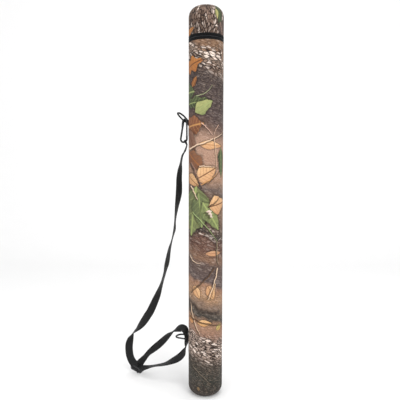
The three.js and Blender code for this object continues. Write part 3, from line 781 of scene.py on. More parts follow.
def moulded_material(name, colour, scuffed, rough, grain=1400.0):
    """Moulded plastic with a fine grain and scuffed corners."""
    material, n, shader = new_material(name, colour, rough)
    place = n.place()
    fine = n.noise(place, grain, 2.0, 0.5)[0]
    broad = n.noise(place, 60.0, 4.0, 0.65)[0]
    corner = n.pointed()
    rubbed = n.smooth(corner, 0.52, 0.6, 0.0, 0.7)
    rubbed = n.math("MAXIMUM", rubbed, n.smooth(broad, 0.58, 0.8, 0.0, 0.4))
    n.put(shader.inputs["Base Color"], n.mix(rubbed, colour, scuffed))
    n.put(shader.inputs["Roughness"], n.smooth(broad, 0.3, 0.7, rough - 0.07, rough + 0.12))
    bump(n, shader, fine, 0.00006, 0.5)
    return material


def metal_material(name, colour, worn, rough):
    """Coated metal: brighter where it is rubbed, with fine scratches."""
    material, n, shader = new_material(name, colour, rough, metallic=0.85)
    place = n.place()
    corner = n.pointed()
    broad = n.noise(place, 140.0, 4.0, 0.6)[0]
    lines = n.noise(n.mapped(place, scale=(300, 300, 2600)), 1.0, 2.0, 0.5)[0]
    bare = n.smooth(corner, 0.51, 0.57, 0.0, 0.6)
    bare = n.math("ADD", bare, n.smooth(broad, 0.55, 0.75, 0.0, 0.5), clamp=True)
    n.put(shader.inputs["Base Color"], n.mix(bare, colour, worn))
    n.put(shader.inputs["Roughness"], n.smooth(broad, 0.3, 0.7, rough + 0.08, rough - 0.06))
    bump(n, shader, lines, 0.00004, 0.5)
    return material


BODY_PRINT = body_print()
LID_PRINT = lid_print()
STRAP_WEB = webbing_material("black_webbing", srgb(11, 11, 12), srgb(36, 36, 37), 0.0016)
TAPE = plain_weave_material("black_tape", srgb(5, 5, 6), srgb(15, 15, 16), 0.0007, 0.75)
LINING = plain_weave_material("lining_cloth", srgb(40, 40, 44), srgb(62, 62, 66), 0.0009)
# The foam's second colour serves as its random mottle and as the painted shade in its pores.
FOAM = foam_material("foam", srgb(70, 70, 72), srgb(34, 34, 36))
TUBE_PLASTIC = moulded_material("tube_plastic", srgb(208, 207, 200), srgb(168, 164, 154), 0.4)
BLACK_PLASTIC = moulded_material("black_plastic", srgb(24, 24, 26), srgb(66, 66, 68), 0.42)
NYLON = moulded_material("zip_nylon", srgb(30, 30, 33), srgb(74, 74, 78), 0.35, 2600.0)
GUNMETAL = metal_material("gunmetal", srgb(40, 41, 42), srgb(98, 98, 100), 0.42)
# dark_gunmetal: a darker copy of the gunmetal for the upper ring. Beside it, the lower ring's lighter
# gunmetal stands in as a painted highlight.
DARK_METAL = metal_material("dark_gunmetal", srgb(20, 20, 21), srgb(60, 60, 62), 0.45)
THREAD = plain_weave_material("black_thread", srgb(22, 22, 24), srgb(52, 52, 55), 0.0004, 0.7)


# ---------- the shoulder strap: one length of webbing through its fittings ----------
WEBBING = 25.0
WEBBING_T = 1.5
# Each station is [outward, sideways, height, twist in degrees] in the strap side's frame. The upper run
# passes a few millimetres above the CAD's, clear of the lower ring when that lifts.
STRAP_MAIN = [
    [55.4, 14.8, 753.5, -18], [57.6, 14.8, 747, -18], [59.5, 14.8, 742, -18], [64, 14, 733, -17],
    [72.5, 13, 721, -18], [78.5, 12, 699, -16], [83, 10.5, 676, 3], [86.5, 9, 652, 11], [87.5, 7.5, 627, 17],
    [90, 6, 601, 17], [98, 4, 563, -4], [105, 2, 523, -20], [108.5, 1, 491, -14],
    [117, 0, 463, -21], [127, 0, 431, -10], [136.5, 0, 385, 4], [143.5, 0, 357, -9],
    [154, 0, 325, -9], [164, 0, 299, 5], [176.5, 0, 269, 31], [198, 0, 225, 56],
    [211, 0, 205, 68], [232, 0, 176, 98], [259, 0, 148, 150], [272, 0, 135, 165],
    [281, 0, 116, 200], [287, 0, 89, 234], [285.5, 0, 63, 238], [280, 0, 47, 238],
    [273, 0, 37, 240],
]
STRAP_LOWER = [
    [238, 5, 20, 62], [229, 6, 25, 44], [218, 6.5, 30, 22], [200, 6, 37, 8], [176, 6, 47, 0],
    [146, 6, 58, 10], [116, 6, 74, 38], [92, 5.5, 89, 60], [75, 5, 107, 58], [65.5, 4.5, 126, 25],
    [63.2, 4.5, 143, 0], [63.2, 4.5, 156, 0],
]
STRAP_UPPER = [
    [63.2, 4.5, 156.5, 0], [63.9, 4.5, 167, 0], [68, 3, 178, -16], [76, 0, 183.5, -42],
    [90, -3.5, 182, -50], [108, -5, 174.5, -22], [129, -6, 158, 18], [157, -6, 128, 48],
    [180, -6, 106, 58], [202, -5, 86, 44], [218, -4, 70, 28], [232, -3, 54, 40], [244, -2, 39, 60],
]
ADJUSTER_PLACE = Vector((262, 0, 16.2))
ADJUSTER_TURN = Matrix.Rotation(math.radians(-13), 3, "Y") @ Matrix.Rotation(math.radians(-24), 3, "X")


def catmull(rows, t):
    """Uniform Catmull-Rom through rows of numbers, at t from 0 to 1, with its ends carried straight on."""
    carried = [[2 * a - b for a, b in zip(rows[0], rows[1])], *rows,
               [2 * a - b for a, b in zip(rows[-1], rows[-2])]]
    span = t * (len(rows) - 1)
    i = min(int(span), len(rows) - 2)
    s = span - i
    return [0.5 * (2 * b + (c - a) * s + (2 * a - 5 * b + 4 * c - d) * s ** 2
                   + (3 * b - a - 3 * c + d) * s ** 3)
            for a, b, c, d in zip(*carried[i:i + 4])]


def strap_frames(stations, steps):
    """(centre, across, face) along a stretch of strap, in the strap side's frame."""
    frames = []
    for i in range(steps + 1):
        t = i / steps
        *centre, twist = catmull(stations, t)
        nearby = [Vector(catmull(stations, min(max(t + d, 0), 1))[:3]) for d in (-1e-4, 1e-4)]
        ahead = (nearby[1] - nearby[0]).normalized()
        across = (Vector((0, 1, 0)) - ahead * ahead.y).normalized()
        across = Matrix.Rotation(math.radians(twist), 3, ahead) @ across
        frames.append((Vector(centre), across, ahead.cross(across)))
    return frames


def link_frames(first, last, places, steps):
    """Frames from one frame to another through (place, across) stops, as the strap passes its adjuster."""
    stops = [(first[0], first[1]), *places, (last[0], last[1])]
    rows = []
    held = stops[0][1]
    for place, across in stops:
        held = across if across.dot(held) >= 0 else -across
        rows.append([*place, *held])
    frames = []
    for i in range(1, steps):
        t = i / steps
        here = catmull(rows, t)
        nearby = [Vector(catmull(rows, t + d)[:3]) for d in (-1e-3, 1e-3)]
        ahead = (nearby[1] - nearby[0]).normalized()
        across = Vector(here[3:])
        across = (across - ahead * across.dot(ahead)).normalized()
        frames.append((Vector(here[:3]), across, ahead.cross(across)))
    return frames


def same_sense(frames, across):
    """The frames, turned half round if they run the other way up from what comes before."""
    if frames[0][1].dot(across) >= 0:
        return frames
    return [(c, -a, -f) for c, a, f in frames]


def at_adjuster(along, through, up):
    return ADJUSTER_PLACE + ADJUSTER_TURN @ Vector((along, through, up))


ADJUSTER_ALONG = ADJUSTER_TURN @ Vector((1, 0, 0))

main_run = strap_frames(STRAP_MAIN, 260)
lower_run = strap_frames(STRAP_LOWER, 100)
upper_run = strap_frames(STRAP_UPPER, 110)
facing = 1 if lower_run[0][1].x > 0 else -1
through_adjuster = [
    (at_adjuster(3, -3.6, 13.5), ADJUSTER_ALONG), (at_adjuster(1, -2.2, 8), ADJUSTER_ALONG),
    (at_adjuster(0, 0.6, 4.6), ADJUSTER_ALONG), (at_adjuster(0, 3.0, 0), ADJUSTER_ALONG),
    (at_adjuster(0, 0.4, -4.6), ADJUSTER_ALONG), (at_adjuster(-4, -3.6, -4.6), ADJUSTER_ALONG),
    (Vector((249, -3.0, 17.5)), (ADJUSTER_ALONG + lower_run[0][1] * facing).normalized()),
]
link = link_frames(main_run[-1], lower_run[0], through_adjuster, 48)
lower_run = same_sense(lower_run, link[-1][1])
upper_run = same_sense(upper_run, lower_run[-1][1])
sewn_end = (at_adjuster(-1, -3.2, 1), ADJUSTER_ALONG, None)
to_sewn_end = [(Vector((250, -4.5, 30.5)), upper_run[-1][1]), (at_adjuster(-4, -4.4, 8), ADJUSTER_ALONG)]
tail = link_frames(upper_run[-1], sewn_end, to_sewn_end, 22)
strap_run = [*main_run, *link, *lower_run, *upper_run[1:], *tail]

# The strap's first 22 mm narrow to this share of its width, into its sewn end loop, and thicken.
GATHERED, GATHERED_SHARE, GATHERED_SWELL = 22.0, 0.26, 0.6


def run_lengths(centres):
    """Running length at every point of a line."""
    lengths = [0.0]
    for a, b in zip(centres, centres[1:]):
        lengths.append(lengths[-1] + (b - a).length)
    return lengths


def ribbon(name, frames, width, thickness, material, gathered=0.0):
    """Webbing along frames in the strap side's frame, with its own weave map."""
    lengths = run_lengths([c for c, _, _ in frames])
    section = flat_section(width, thickness)
    vertices, uvs = [], []
    for (centre, across, face), length in zip(frames, lengths):
        share = 1.0
        if gathered and length < gathered:
            share = GATHERED_SHARE + (1 - GATHERED_SHARE) * math.sin(length / gathered * math.pi / 2)
        for a, b in section:
            thick = b * (1 + GATHERED_SWELL * (1 - share))
            vertices.append(HARDWARE_TURN @ (centre + across * a * share + face * thick) * MM)
            uvs.append((a * MM, length * MM))
    made = new_object(name, vertices, tube_faces(0, len(frames), len(section)), material)
    layer = made.data.uv_layers.new(name="weave")
    for loop in made.data.loops:
        layer.data[loop.index].uv = uvs[loop.vertex_index]
    return outward(made)


strap = ribbon("shoulder_strap", strap_run, WEBBING, WEBBING_T, STRAP_WEB, GATHERED)


# ---------- the strap's fittings ----------
def evaluated(made):
    """The mesh that an object's curve or modifiers come to."""
    return bpy.data.meshes.new_from_object(made.evaluated_get(bpy.context.evaluated_depsgraph_get()))


def plate_of(name, outlines, thickness, edge, material):
    """A flat piece from closed 2D outlines in millimetres, holes among them, with rounded edges."""
    curve = bpy.data.curves.new(name, "CURVE")
    curve.dimensions = "2D"
    curve.fill_mode = "BOTH"
    curve.extrude = (thickness / 2 - edge) * MM
    curve.bevel_depth = edge * MM
    curve.bevel_resolution = 3
    curve.offset = -edge * MM
    for outline in outlines:
        spline = curve.splines.new("POLY")
        spline.points.add(len(outline) - 1)
        for point, (x, y) in zip(spline.points, outline):
            point.co = (x * MM, y * MM, 0, 1)
        spline.use_cyclic_u = True
    made = linked(name, curve)
    bpy.context.view_layer.update()
    flat = evaluated(made)
    bpy.data.objects.remove(made)
    bpy.data.curves.remove(curve)
    faced_out(flat, weld=2e-6)
    flat.name = name
    flat.materials.clear()
    flat.materials.append(material)
    made = linked(name, flat)
    smooth_shaded(flat)
    flat.set_sharp_from_angle(angle=math.radians(50))
    return made


def rounded_box(width, height, radius, cx=0.0, cy=0.0, steps=5):
    """A closed 2D outline with rounded corners."""
    points = []
    for sx, sy, from_deg in ((1, 1, 0), (-1, 1, 90), (-1, -1, 180), (1, -1, 270)):
        for k in range(steps + 1):
            a = math.radians(from_deg + 90 * k / steps)
            points.append((cx + sx * (width / 2 - radius) + radius * math.cos(a),
                           cy + sy * (height / 2 - radius) + radius * math.sin(a)))
    return points


def settle(made, matrix):
    """Puts a mesh at its place by moving its vertices, so that the object stays at the origin."""
    made.data.transform(matrix)
    made.data.update()
    return made


def turned_to(matrix3, place):
    return Matrix.Translation(place) @ matrix3.to_4x4()


ADJUSTER_LONG, ADJUSTER_HIGH, ADJUSTER_T = 38.0, 24.0, 3.4
SLOT_LONG, SLOT_HIGH, SLOT_FROM_MIDDLE = 28.0, 5.6, 5.0
RIBS, RIB_PITCH, RIB_FROM_MIDDLE, RIB_T = 7, 4, 9.9, 3.9
slots = [rounded_box(SLOT_LONG, SLOT_HIGH, 1.4, 0, y) for y in (SLOT_FROM_MIDDLE, -SLOT_FROM_MIDDLE)]
adjuster = plate_of("strap_adjuster_slider", [rounded_box(ADJUSTER_LONG, ADJUSTER_HIGH, 3.2), *slots],
                    ADJUSTER_T, 0.7, BLACK_PLASTIC)
rib_places = [(RIB_PITCH * (k - RIBS // 2), row)
              for k in range(RIBS) for row in (RIB_FROM_MIDDLE, -RIB_FROM_MIDDLE)]
ribs = [plate_of("rib", [rounded_box(1.5, 3.0, 0.6, *place)], RIB_T, 0.3, BLACK_PLASTIC)
        for place in rib_places]
adjuster_ribs = merged("strap_adjuster_ribs", ribs)
upright = Matrix.Rotation(math.radians(90), 3, "X")
adjuster_matrix = turned_to(HARDWARE_TURN @ ADJUSTER_TURN @ upright, side(*ADJUSTER_PLACE))
for piece in (adjuster, adjuster_ribs):
    settle(piece, adjuster_matrix)

END_EYE = Vector((61.8, 14.8, 763))
ROD_SLANT = math.radians(29.3)


def frames_across(line, axis):
    """Ribbon frames along a line of points, with the ribbon's width along the axis."""
    frames = []
    for i, p in enumerate(line):
        ahead = (line[min(i + 1, len(line) - 1)] - line[max(i - 1, 0)]).normalized()
        frames.append((p, axis, ahead.cross(axis)))
    return frames


def end_loop_frames():
    """The strap's sewn end: up from its tail, round the hook's slanting rod and down again."""
    axis = Vector((math.cos(ROD_SLANT), 0, -math.sin(ROD_SLANT)))
    down = Vector((-math.sin(ROD_SLANT), 0, -math.cos(ROD_SLANT)))
    side_y = Vector((0, 1, 0))
    radius, turn_from, turn_deg, steps = 4.05, -35, 250, 24
    leg = [(0.8, 11.8), (0.8, 9.6), (1.2, 7.6), (2.4, 5.2)]
    line = [END_EYE + side_y * a + down * b for a, b in leg]
    for k in range(steps + 1):
        a = math.radians(turn_from + turn_deg * k / steps)
        line.append(END_EYE + side_y * radius * math.cos(a) - down * radius * math.sin(a))
    line += [END_EYE - side_y * a + down * b for a, b in leg[::-1]]
    return frames_across(line, axis)


END_LOOP_WIDTH, TAB_T = 4.8, 1.4
end_loop = ribbon("strap_sewn_end_loop", end_loop_frames(), END_LOOP_WIDTH, TAB_T, STRAP_WEB)


def stitch_row(name, spots, material, length=2.6, radius=0.28):
    """Separate stitches: spots are (place, along, up) in metres and unit vectors."""
    vertices, faces, sides = [], [], 6
    # place along the stitch, thickness and lift, as shares of its length and radius
    rings = [(-0.5, 0.15, -0.9), (-0.42, 0.8, 0.0), (-0.15, 1.0, 0.35), (0.15, 1.0, 0.35), (0.42, 0.8, 0.0),
             (0.5, 0.15, -0.9)]
    for place, along, up in spots:
        across = along.cross(up).normalized()
        faces += tube_faces(len(vertices), len(rings), sides)
        for step, size, lift in rings:
            centre = place + along * step * length * MM
            for k in range(sides):
                a = 2 * math.pi * k / sides
                spoke = across * math.cos(a) * size + up * (math.sin(a) * size + lift)
                vertices.append(centre + spoke * radius * MM)
    return outward(new_object(name, vertices, faces, material))


def spots_along(a, b, up, pitch):
    """Stitch spots on the straight line from a to b."""
    run = b - a
    count = max(1, round(run.length / (pitch * MM)))
    along = run.normalized()
    return [(a + run * (i + 0.5) / count, along, up) for i in range(count)]


TAB_WIDTH = 18.0
TAIL_IN, TAIL_OUT = 52.15, 53.65       # centres of the tab's two layers, outward from the axis
TAIL_LENGTH = 44.0
RING_WIRE = 2.0


def webbing_tab(name, bar_x, bar_z):
    """Webbing folded round a ring's bar, with its two layers boxed down on the case."""
    radius = RING_WIRE + 0.95
    foot = bar_z - TAIL_LENGTH + 0.8
    line = [(TAIL_IN, foot), (TAIL_IN, bar_z - 30), (TAIL_IN, bar_z - 16), (TAIL_IN + 0.3, bar_z - 10)]
    for k in range(15):
        a = math.radians(190 - 225 * k / 14)
        line.append((bar_x + radius * math.cos(a), bar_z + radius * math.sin(a)))
    line += [(TAIL_OUT + 0.5, bar_z - 12), (TAIL_OUT, bar_z - 18), (TAIL_OUT, bar_z - 30), (TAIL_OUT, foot)]
    rows, steps = [[x, 0, z] for x, z in line], 90
    fine = [Vector(catmull(rows, i / steps)) for i in range(steps + 1)]
    return ribbon(name, frames_across(fine, Vector((0, 1, 0))), TAB_WIDTH, TAB_T, STRAP_WEB)


def box_stitch(name, bar_z):
    """A crossed box of stitches on a tab's outer layer."""
    x, half, low, high = TAIL_OUT + 0.82, TAB_WIDTH / 2 - 2.4, bar_z - 40, bar_z - 20
    corners = [side(x, -half, low), side(x, half, low), side(x, half, high), side(x, -half, high)]
    up = side_way(1, 0, 0)
    spots = []
    for i, j in ((0, 1), (1, 2), (2, 3), (3, 0), (0, 2), (1, 3)):
        spots += spots_along(corners[i], corners[j], up, 3.0)
    return stitch_row(name, spots, THREAD)


UPPER_BAR, LOWER_BAR = (61.6, 821.0), (57.2, 161.0)
upper_tab = webbing_tab("upper_ring_tab", *UPPER_BAR)
lower_tab = webbing_tab("lower_ring_tab", *LOWER_BAR)
upper_tab_stitches = box_stitch("upper_tab_stitches", UPPER_BAR[1])
lower_tab_stitches = box_stitch("lower_tab_stitches", LOWER_BAR[1])

RING_HALF, RING_BOW, RING_SHIFT = 16.5, 40.0, 4.5
RING_BOW_FAT = 0.35                    # how much thicker the wire is at the bow than at the bar


def d_ring(name, bar, tilt_deg, material):
    """A bent wire D: its bar along the side direction, its bow outward and tilted up."""
    corners = [(0, 0), (0, RING_HALF, 2.6), (RING_BOW, RING_HALF, RING_HALF - 1),
               (RING_BOW, -RING_HALF, RING_HALF - 1), (0, -RING_HALF, 2.6), (0, 0)]
    flat = rounded_line(corners, 12)[1:]
    tilt = Matrix.Rotation(math.radians(-tilt_deg), 3, "Y")
    centre = Vector((bar[0], RING_SHIFT, bar[1]))
    points = [centre + tilt @ Vector((p.x, p.y, 0)) for p in flat]
    frames = []
    for c, s, u in wire_frames(points, tilt @ Vector((0, 0, 1)), closed=True):
        fat = 1 + RING_BOW_FAT * min(1.0, (c - centre).length / RING_BOW)
        frames.append((HARDWARE_TURN @ c * MM, HARDWARE_TURN @ s * MM * fat, HARDWARE_TURN @ u * MM * fat))
    return sweep(name, frames, round_section(RING_WIRE, 18), material, closed=True)


# The two rings differ only in tone: the lower ring's lighter gunmetal is a painted highlight beside the upper
# ring's darker copy.
upper_ring = d_ring("upper_d_ring_wire", UPPER_BAR, 45, DARK_METAL)
lower_ring = d_ring("lower_d_ring_wire", LOWER_BAR, -2, GUNMETAL)

# ---------- snap hook ----------
HOOK_Y, HOOK_WIRE, GATE_X, HINGE_Z, NOSE_Z = 14.8, 2.5, 56.4, 808.0, 781.0
# The visual frame is thicker than its CAD wire by the first, and by the second more over the crown.
HOOK_FAT, HOOK_CROWN, CROWN_FROM, CROWN_RUN = 1.12, 0.38, 802, 10
NOTCH = (8, 2.4)                       # how wide and how deep the notches for the gate's tongues are


def carved(made, cutter):
    """The mesh with the cutter's shape taken out of it."""
    cut = made.modifiers.new("cut", "BOOLEAN")
    cut.operation = "DIFFERENCE"
    cut.solver = "EXACT"
    cut.object = cutter
    bpy.context.view_layer.update()
    done = evaluated(made)
    made.modifiers.clear()
    made.data = done
    bpy.data.objects.remove(cutter)
    return made


def block(name, size, centre, material):
    """A box of that size in millimetres, centred there."""
    work = bmesh.new()
    bmesh.ops.create_cube(work, size=1.0)
    mesh = bpy.data.meshes.new(name)
    work.to_mesh(mesh)
    work.free()
    mesh.transform(Matrix.Translation(Vector(centre) * MM) @ Matrix.Diagonal((*[s * MM for s in size], 1)))
    mesh.materials.append(material)
    return linked(name, mesh)


def domed_rod(name, radius, low, high, material, dome=0.8, steps=28):
    """A rod along Z with rounded ends."""
    flat = radius - dome
    loop = [(flat + dome * math.sin(a), low + dome * (1 - math.cos(a))) for a in quarter(4)]
    loop += [(flat + dome * math.cos(a), high - dome * (1 - math.sin(a))) for a in quarter(4)]
    return turned(name, [(0, low), *loop, (0, high)], material, steps)


def eased(share):
    """0 below 0, 1 above 1, and a smooth step between."""
    share = min(max(share, 0.0), 1.0)
    return share * share * (3 - 2 * share)


def hook_pieces():
    """The wire frame, its gate and rivet, in the hook's own plane."""
    crown_z = UPPER_BAR[1] + 5.2
    corners = [(GATE_X, HINGE_Z + 4.4), (GATE_X, crown_z, 5.1), (GATE_X + 10.8, crown_z, 5),
               (80.5, 752.5, 9), (GATE_X, 766, 6), (GATE_X, NOSE_Z)]
    flat = rounded_line(corners, 12)
    points = []
    for a, b in zip(flat, flat[1:]):
        pieces = max(1, round((b - a).length / 4))
        points += [a.lerp(b, k / pieces) for k in range(pieces)]
    points.append(flat[-1])
    line = [Vector((p.x, 0, p.y)) * MM for p in points]
    frames = []
    for c, s, u in wire_frames(line, Vector((0, 1, 0))):
        crown = HOOK_CROWN * eased((c.z / MM - CROWN_FROM) / CROWN_RUN)
        outward_way = (c - Vector((UPPER_BAR[0], 0, UPPER_BAR[1])) * MM).normalized()
        size = (HOOK_FAT + crown) * MM
        frames.append((c + outward_way * crown * HOOK_WIRE * MM, s * size, u * size))
    wire = sweep("snap_hook_frame", frames, round_section(HOOK_WIRE, 20), GUNMETAL)
    wire = carved(wire, block("cutter", (*NOTCH, 8), (GATE_X, 0, NOSE_Z), GUNMETAL))
    tang = softened(block("snap_hook_tang", (3.4, 1.6, 8), (GATE_X, 0, HINGE_Z + 2), GUNMETAL), 0.0003)
    gate = domed_rod("gate_rod", 2.4, NOSE_Z + 0.5, HINGE_Z + 3.2, GUNMETAL, 0.5)
    settle(gate, Matrix.Translation((GATE_X * MM, 0, 0)))
    gate = carved(gate, block("cutter", (*NOTCH, 13.4), (GATE_X, 0, HINGE_Z + 3.2), GUNMETAL))
    gate.name = "snap_hook_gate"
    tongue = block("snap_hook_gate_tongue", (3.2, 1.6, 5), (GATE_X, 0, NOSE_Z - 0.5), GUNMETAL)
    softened(tongue, 0.0003)
    rivet = domed_rod("snap_hook_rivet", 0.85, -3.1, 3.1, GUNMETAL, 0.3, 20)
    heads = [domed_rod("head", 1.5, z - 0.45, z + 0.45, GUNMETAL, 0.4, 20) for z in (-2.75, 2.75)]
    rivet = merged("snap_hook_rivet_pin", [rivet, *heads])
    on_pin = Matrix.Translation(Vector((GATE_X, 0, HINGE_Z)) * MM)
    settle(rivet, on_pin @ Matrix.Rotation(math.pi / 2, 4, "X"))
    for made in (wire, tang, gate, tongue, rivet):
        settle(made, HARDWARE_TURN.to_4x4() @ Matrix.Translation((0, HOOK_Y * MM, 0)))
    for made in (wire, gate):
        made.data.set_sharp_from_angle(angle=math.radians(45))
    return wire, tang, gate, tongue, rivet


hook_frame, hook_tang, hook_gate, gate_tongue, hook_rivet = hook_pieces()

# ---------- covers: printed cloth over the tube and the lid ----------
CASE_R, CASE_H = 51.0, 1148.0
BASE_ROUND, CROWN_ROUND, COVER_T = 26.6, 30.7, 1.2
BAND_LOW, BAND_HIGH = 1045.0, 1063.0
COLUMNS, ROW_PITCH = 144, 7.5
WOBBLE, SEAM_RIDGE = 0.28, 0.35         # how far the cloth wanders, and how far its back seam stands up
DISC_APART = 20                        # the flat's piece of print is taken from this far past the cover's end


def cover_profile(low, high, round_radius, top):
    """(radius, z, print height) from the flat's centre, over the rounding, along the wall and back inside."""
    sign = 1 if top else -1
    flat_z = high if top else low
    flat_r = CASE_R - round_radius
    arc = round_radius * math.pi / 2
    wall_z = flat_z - sign * round_radius
    points = [(flat_r * f, flat_z, None) for f in (0.0, 0.25, 0.5, 0.75, 0.92)]
    # A shallow welt, where the disc is sewn to the wall's cloth
    welt = ((0.955, 0.0), (0.975, -0.45), (0.99, -0.5))
    points += [(flat_r * f, flat_z + sign * lift, None) for f, lift in welt]
    for k, a in enumerate(quarter(16)[1:], start=1):
        points.append((flat_r + round_radius * math.sin(a), flat_z - sign * round_radius * (1 - math.cos(a)),
                       wall_z + sign * arc * (1 - k / 16)))
    end = low if top else high
    rows = max(4, round(abs(end - wall_z) / ROW_PITCH))
    for k in range(1, rows + 1):
        z = wall_z + (end - wall_z) * k / rows
        points.append((CASE_R, z, z))
    # The turned-in hem and a plain inner face
    points[-1] = (CASE_R - 0.15, end + sign * 0.35, end)
    points.append((CASE_R - 0.45, end, end))
    points.append((CASE_R - COVER_T, end + sign * 0.1, end))
    points.append((CASE_R - COVER_T, wall_z, wall_z))
    inner_round = round_radius - COVER_T
    for a in quarter(8)[-2::-1]:
        points.append((flat_r + inner_round * math.sin(a),
                       flat_z - sign * (COVER_T + inner_round * (1 - math.cos(a))), wall_z))
    points.append((0, flat_z - sign * COVER_T, None))
    return points


def cover(name, low, high, round_radius, top, material, seed):
    """One printed cover as a closed shell, with the print's map: u round the tube from the front, v up it."""
    profile = cover_profile(low, high, round_radius, top)
    vertices, faces, uvs = [], [], []
    count = len(profile)
    flat_centre = high + DISC_APART if top else low - DISC_APART

    def turn_of(i):
        return -math.pi + 2 * math.pi * i / COLUMNS

    def print_of(i, k):
        r, _, v = profile[k]
        if v is None:
            a = turn_of(i)
            return (r * math.sin(a) * MM, (flat_centre - r * math.cos(a)) * MM)
        return (CASE_R * turn_of(i) * MM, v * MM)

    for i in range(COLUMNS):
        a = turn_of(i)
        near_seam = max(0.0, 1 - abs(abs(a) - math.pi) * CASE_R / 4.5)
        for r, z, _ in profile:
            push = 0.0
            if r > CASE_R - 1.0 and BASE_ROUND < z < CASE_H - CROWN_ROUND:
                x, y = math.sin(a), math.cos(a)
                push = noise.noise(Vector((2.2 * x + seed, 2.2 * y, z * 0.012))) * WOBBLE
                push += noise.noise(Vector((6 * x - seed, 6 * y, z * 0.05))) * WOBBLE * 0.35
                push += SEAM_RIDGE * min(1.0, near_seam * 2.5)
            vertices.append(Vector(((r + push) * math.sin(a), -(r + push) * math.cos(a), z)) * MM)
    for i in range(COLUMNS):
        here, there = i * count, ((i + 1) % COLUMNS) * count
        for k in range(count - 1):
            quad = [(here + k, (i, k)), (there + k, (i + 1, k)), (there + k + 1, (i + 1, k + 1)),
                    (here + k + 1, (i, k + 1))]
            if k == 0:
                quad = [(0, (i, 0)), quad[2], quad[3]]
            elif k == count - 2:
                quad = [quad[0], quad[1], (count - 1, (i, count - 1))]
            if not top:
                quad = quad[::-1]
            faces.append([v for v, _ in quad])
            uvs.append([print_of(*where) for _, where in quad])
    mesh = bpy.data.meshes.new(name)
    mesh.from_pydata([tuple(v) for v in vertices], [], faces)
    layer = mesh.uv_layers.new(name="print")
    for polygon, corners in zip(mesh.polygons, uvs):
        for loop, uv in zip(polygon.loop_indices, corners):
            layer.data[loop].uv = uv
    mesh.materials.append(material)
    smooth_shaded(mesh)
    faced_out(mesh, drop_loose=True)
    mesh.set_sharp_from_angle(angle=math.radians(60))
    return linked(name, mesh)


body_cover = cover("case_printed_cover", 0.0, BAND_LOW, BASE_ROUND, False, BODY_PRINT, 3.0)
lid_cover = cover("lid_printed_cover", BAND_HIGH, CASE_H, CROWN_ROUND, True, LID_PRINT, 7.0)


def seam_stitches(name, low, high):
    """Two rows of stitches beside the cover's seam at the back."""
    spots = []
    for offset in (-2.6, 2.6):
        a = math.pi + offset / CASE_R
        out = Vector((math.sin(a), -math.cos(a), 0))
        foot = out * (CASE_R + 0.5) * MM
        low_end, high_end = foot + Vector((0, 0, low * MM)), foot + Vector((0, 0, high * MM))
        spots += spots_along(low_end, high_end, out, 4.2)
    return stitch_row(name, spots, THREAD, 2.8, 0.26)


def tangent(angle):
    """The way round the Z axis at an angle."""
    return Vector((-math.sin(angle), math.cos(angle), 0))


def ring_stitches(name, radius, z, start, end, pitch, up=None):
    """A row of stitches round the tube; up is the way that they face, outward if none is given."""
    count = round(math.radians(end - start) * radius / pitch)
    spots = []
    for i in range(count):
        a = math.radians(start + (end - start) * (i + 0.5) / count)
        spots.append((round_place(radius, a, z) * MM, tangent(a), up or round_place(1, a)))
    return stitch_row(name, spots, THREAD)


body_seam = seam_stitches("case_seam_stitches", BASE_ROUND + 4, BAND_LOW - 6)
lid_seam = seam_stitches("lid_seam_stitches", BAND_HIGH + 6, CASE_H - CROWN_ROUND - 2)
UP, DOWN = Vector((0, 0, 1)), Vector((0, 0, -1))
crown_stitches = ring_stitches("lid_crown_stitches", 17.6, CASE_H + 0.1, 0, 360, 3.8, UP)

# ---------- zipper ----------
ZIP_Z = 1054.0
SLIT_HALF = 0.8
ZIP_FROM, ZIP_TO = 114.0, 426.0
TAPE_IN, TAPE_OUT = CASE_R - 1.0, CASE_R + 0.05
ROLL_HIGH, ROLL_HALF = 0.22, 0.9
COIL_OUT, COIL_PITCH = 49.6, 1.5


def tape(name, low, high, inner_edge_low):
    """One zipper tape: a band whose edge by the slit is rolled over its coil."""
    roll = low + ROLL_HALF if inner_edge_low else high - ROLL_HALF
    rolled = []
    for r, z in rounded_band(TAPE_IN, TAPE_OUT, low, high, 0.3):
        lift = ROLL_HIGH * math.exp(-((z - roll) / ROLL_HALF) ** 2) if r > TAPE_OUT - 0.5 else 0.0
        rolled.append((r + lift, z))
    return turned(name, rolled, TAPE, 150, ZIP_FROM, ZIP_TO)


def coil_teeth(name, low, high, phase, up):
    """Bent nylon loops that reach into the slit, half a pitch apart on the two sides."""
    count = int(math.radians(ZIP_TO - ZIP_FROM) * COIL_OUT / COIL_PITCH) - 1
    sign = 1 if up else -1
    root, tip = (low, high) if up else (high, low)
    line = [(COIL_OUT - 0.35, root), (COIL_OUT - 0.3, root + sign * 1.4), (COIL_OUT - 0.25, tip - sign * 0.4),
            (COIL_OUT - 0.6, tip), (COIL_OUT - 1.0, tip - sign * 0.5), (COIL_OUT - 1.15, root + sign * 0.6)]
    widths = [0.36, 0.36, 0.5, 0.5, 0.5, 0.36]      # half widths along the loop, wider at its head
    vertices, faces, sides = [], [], 5
    for i in range(count):
        a = math.radians(ZIP_FROM) + (i + 1 + phase) * COIL_PITCH / COIL_OUT
        out, along = round_place(1, a), tangent(a)
        points = [out * r + Vector((0, 0, z)) for r, z in line]
        faces += tube_faces(len(vertices), len(points), sides)
        for (p, _, normal), fat in zip(frames_across(points, along), widths):
            for k in range(sides):
                b = 2 * math.pi * k / sides
                vertices.append((p + along * math.cos(b) * fat + normal * math.sin(b) * 0.3) * MM)
    return outward(new_object(name, vertices, faces, NYLON))


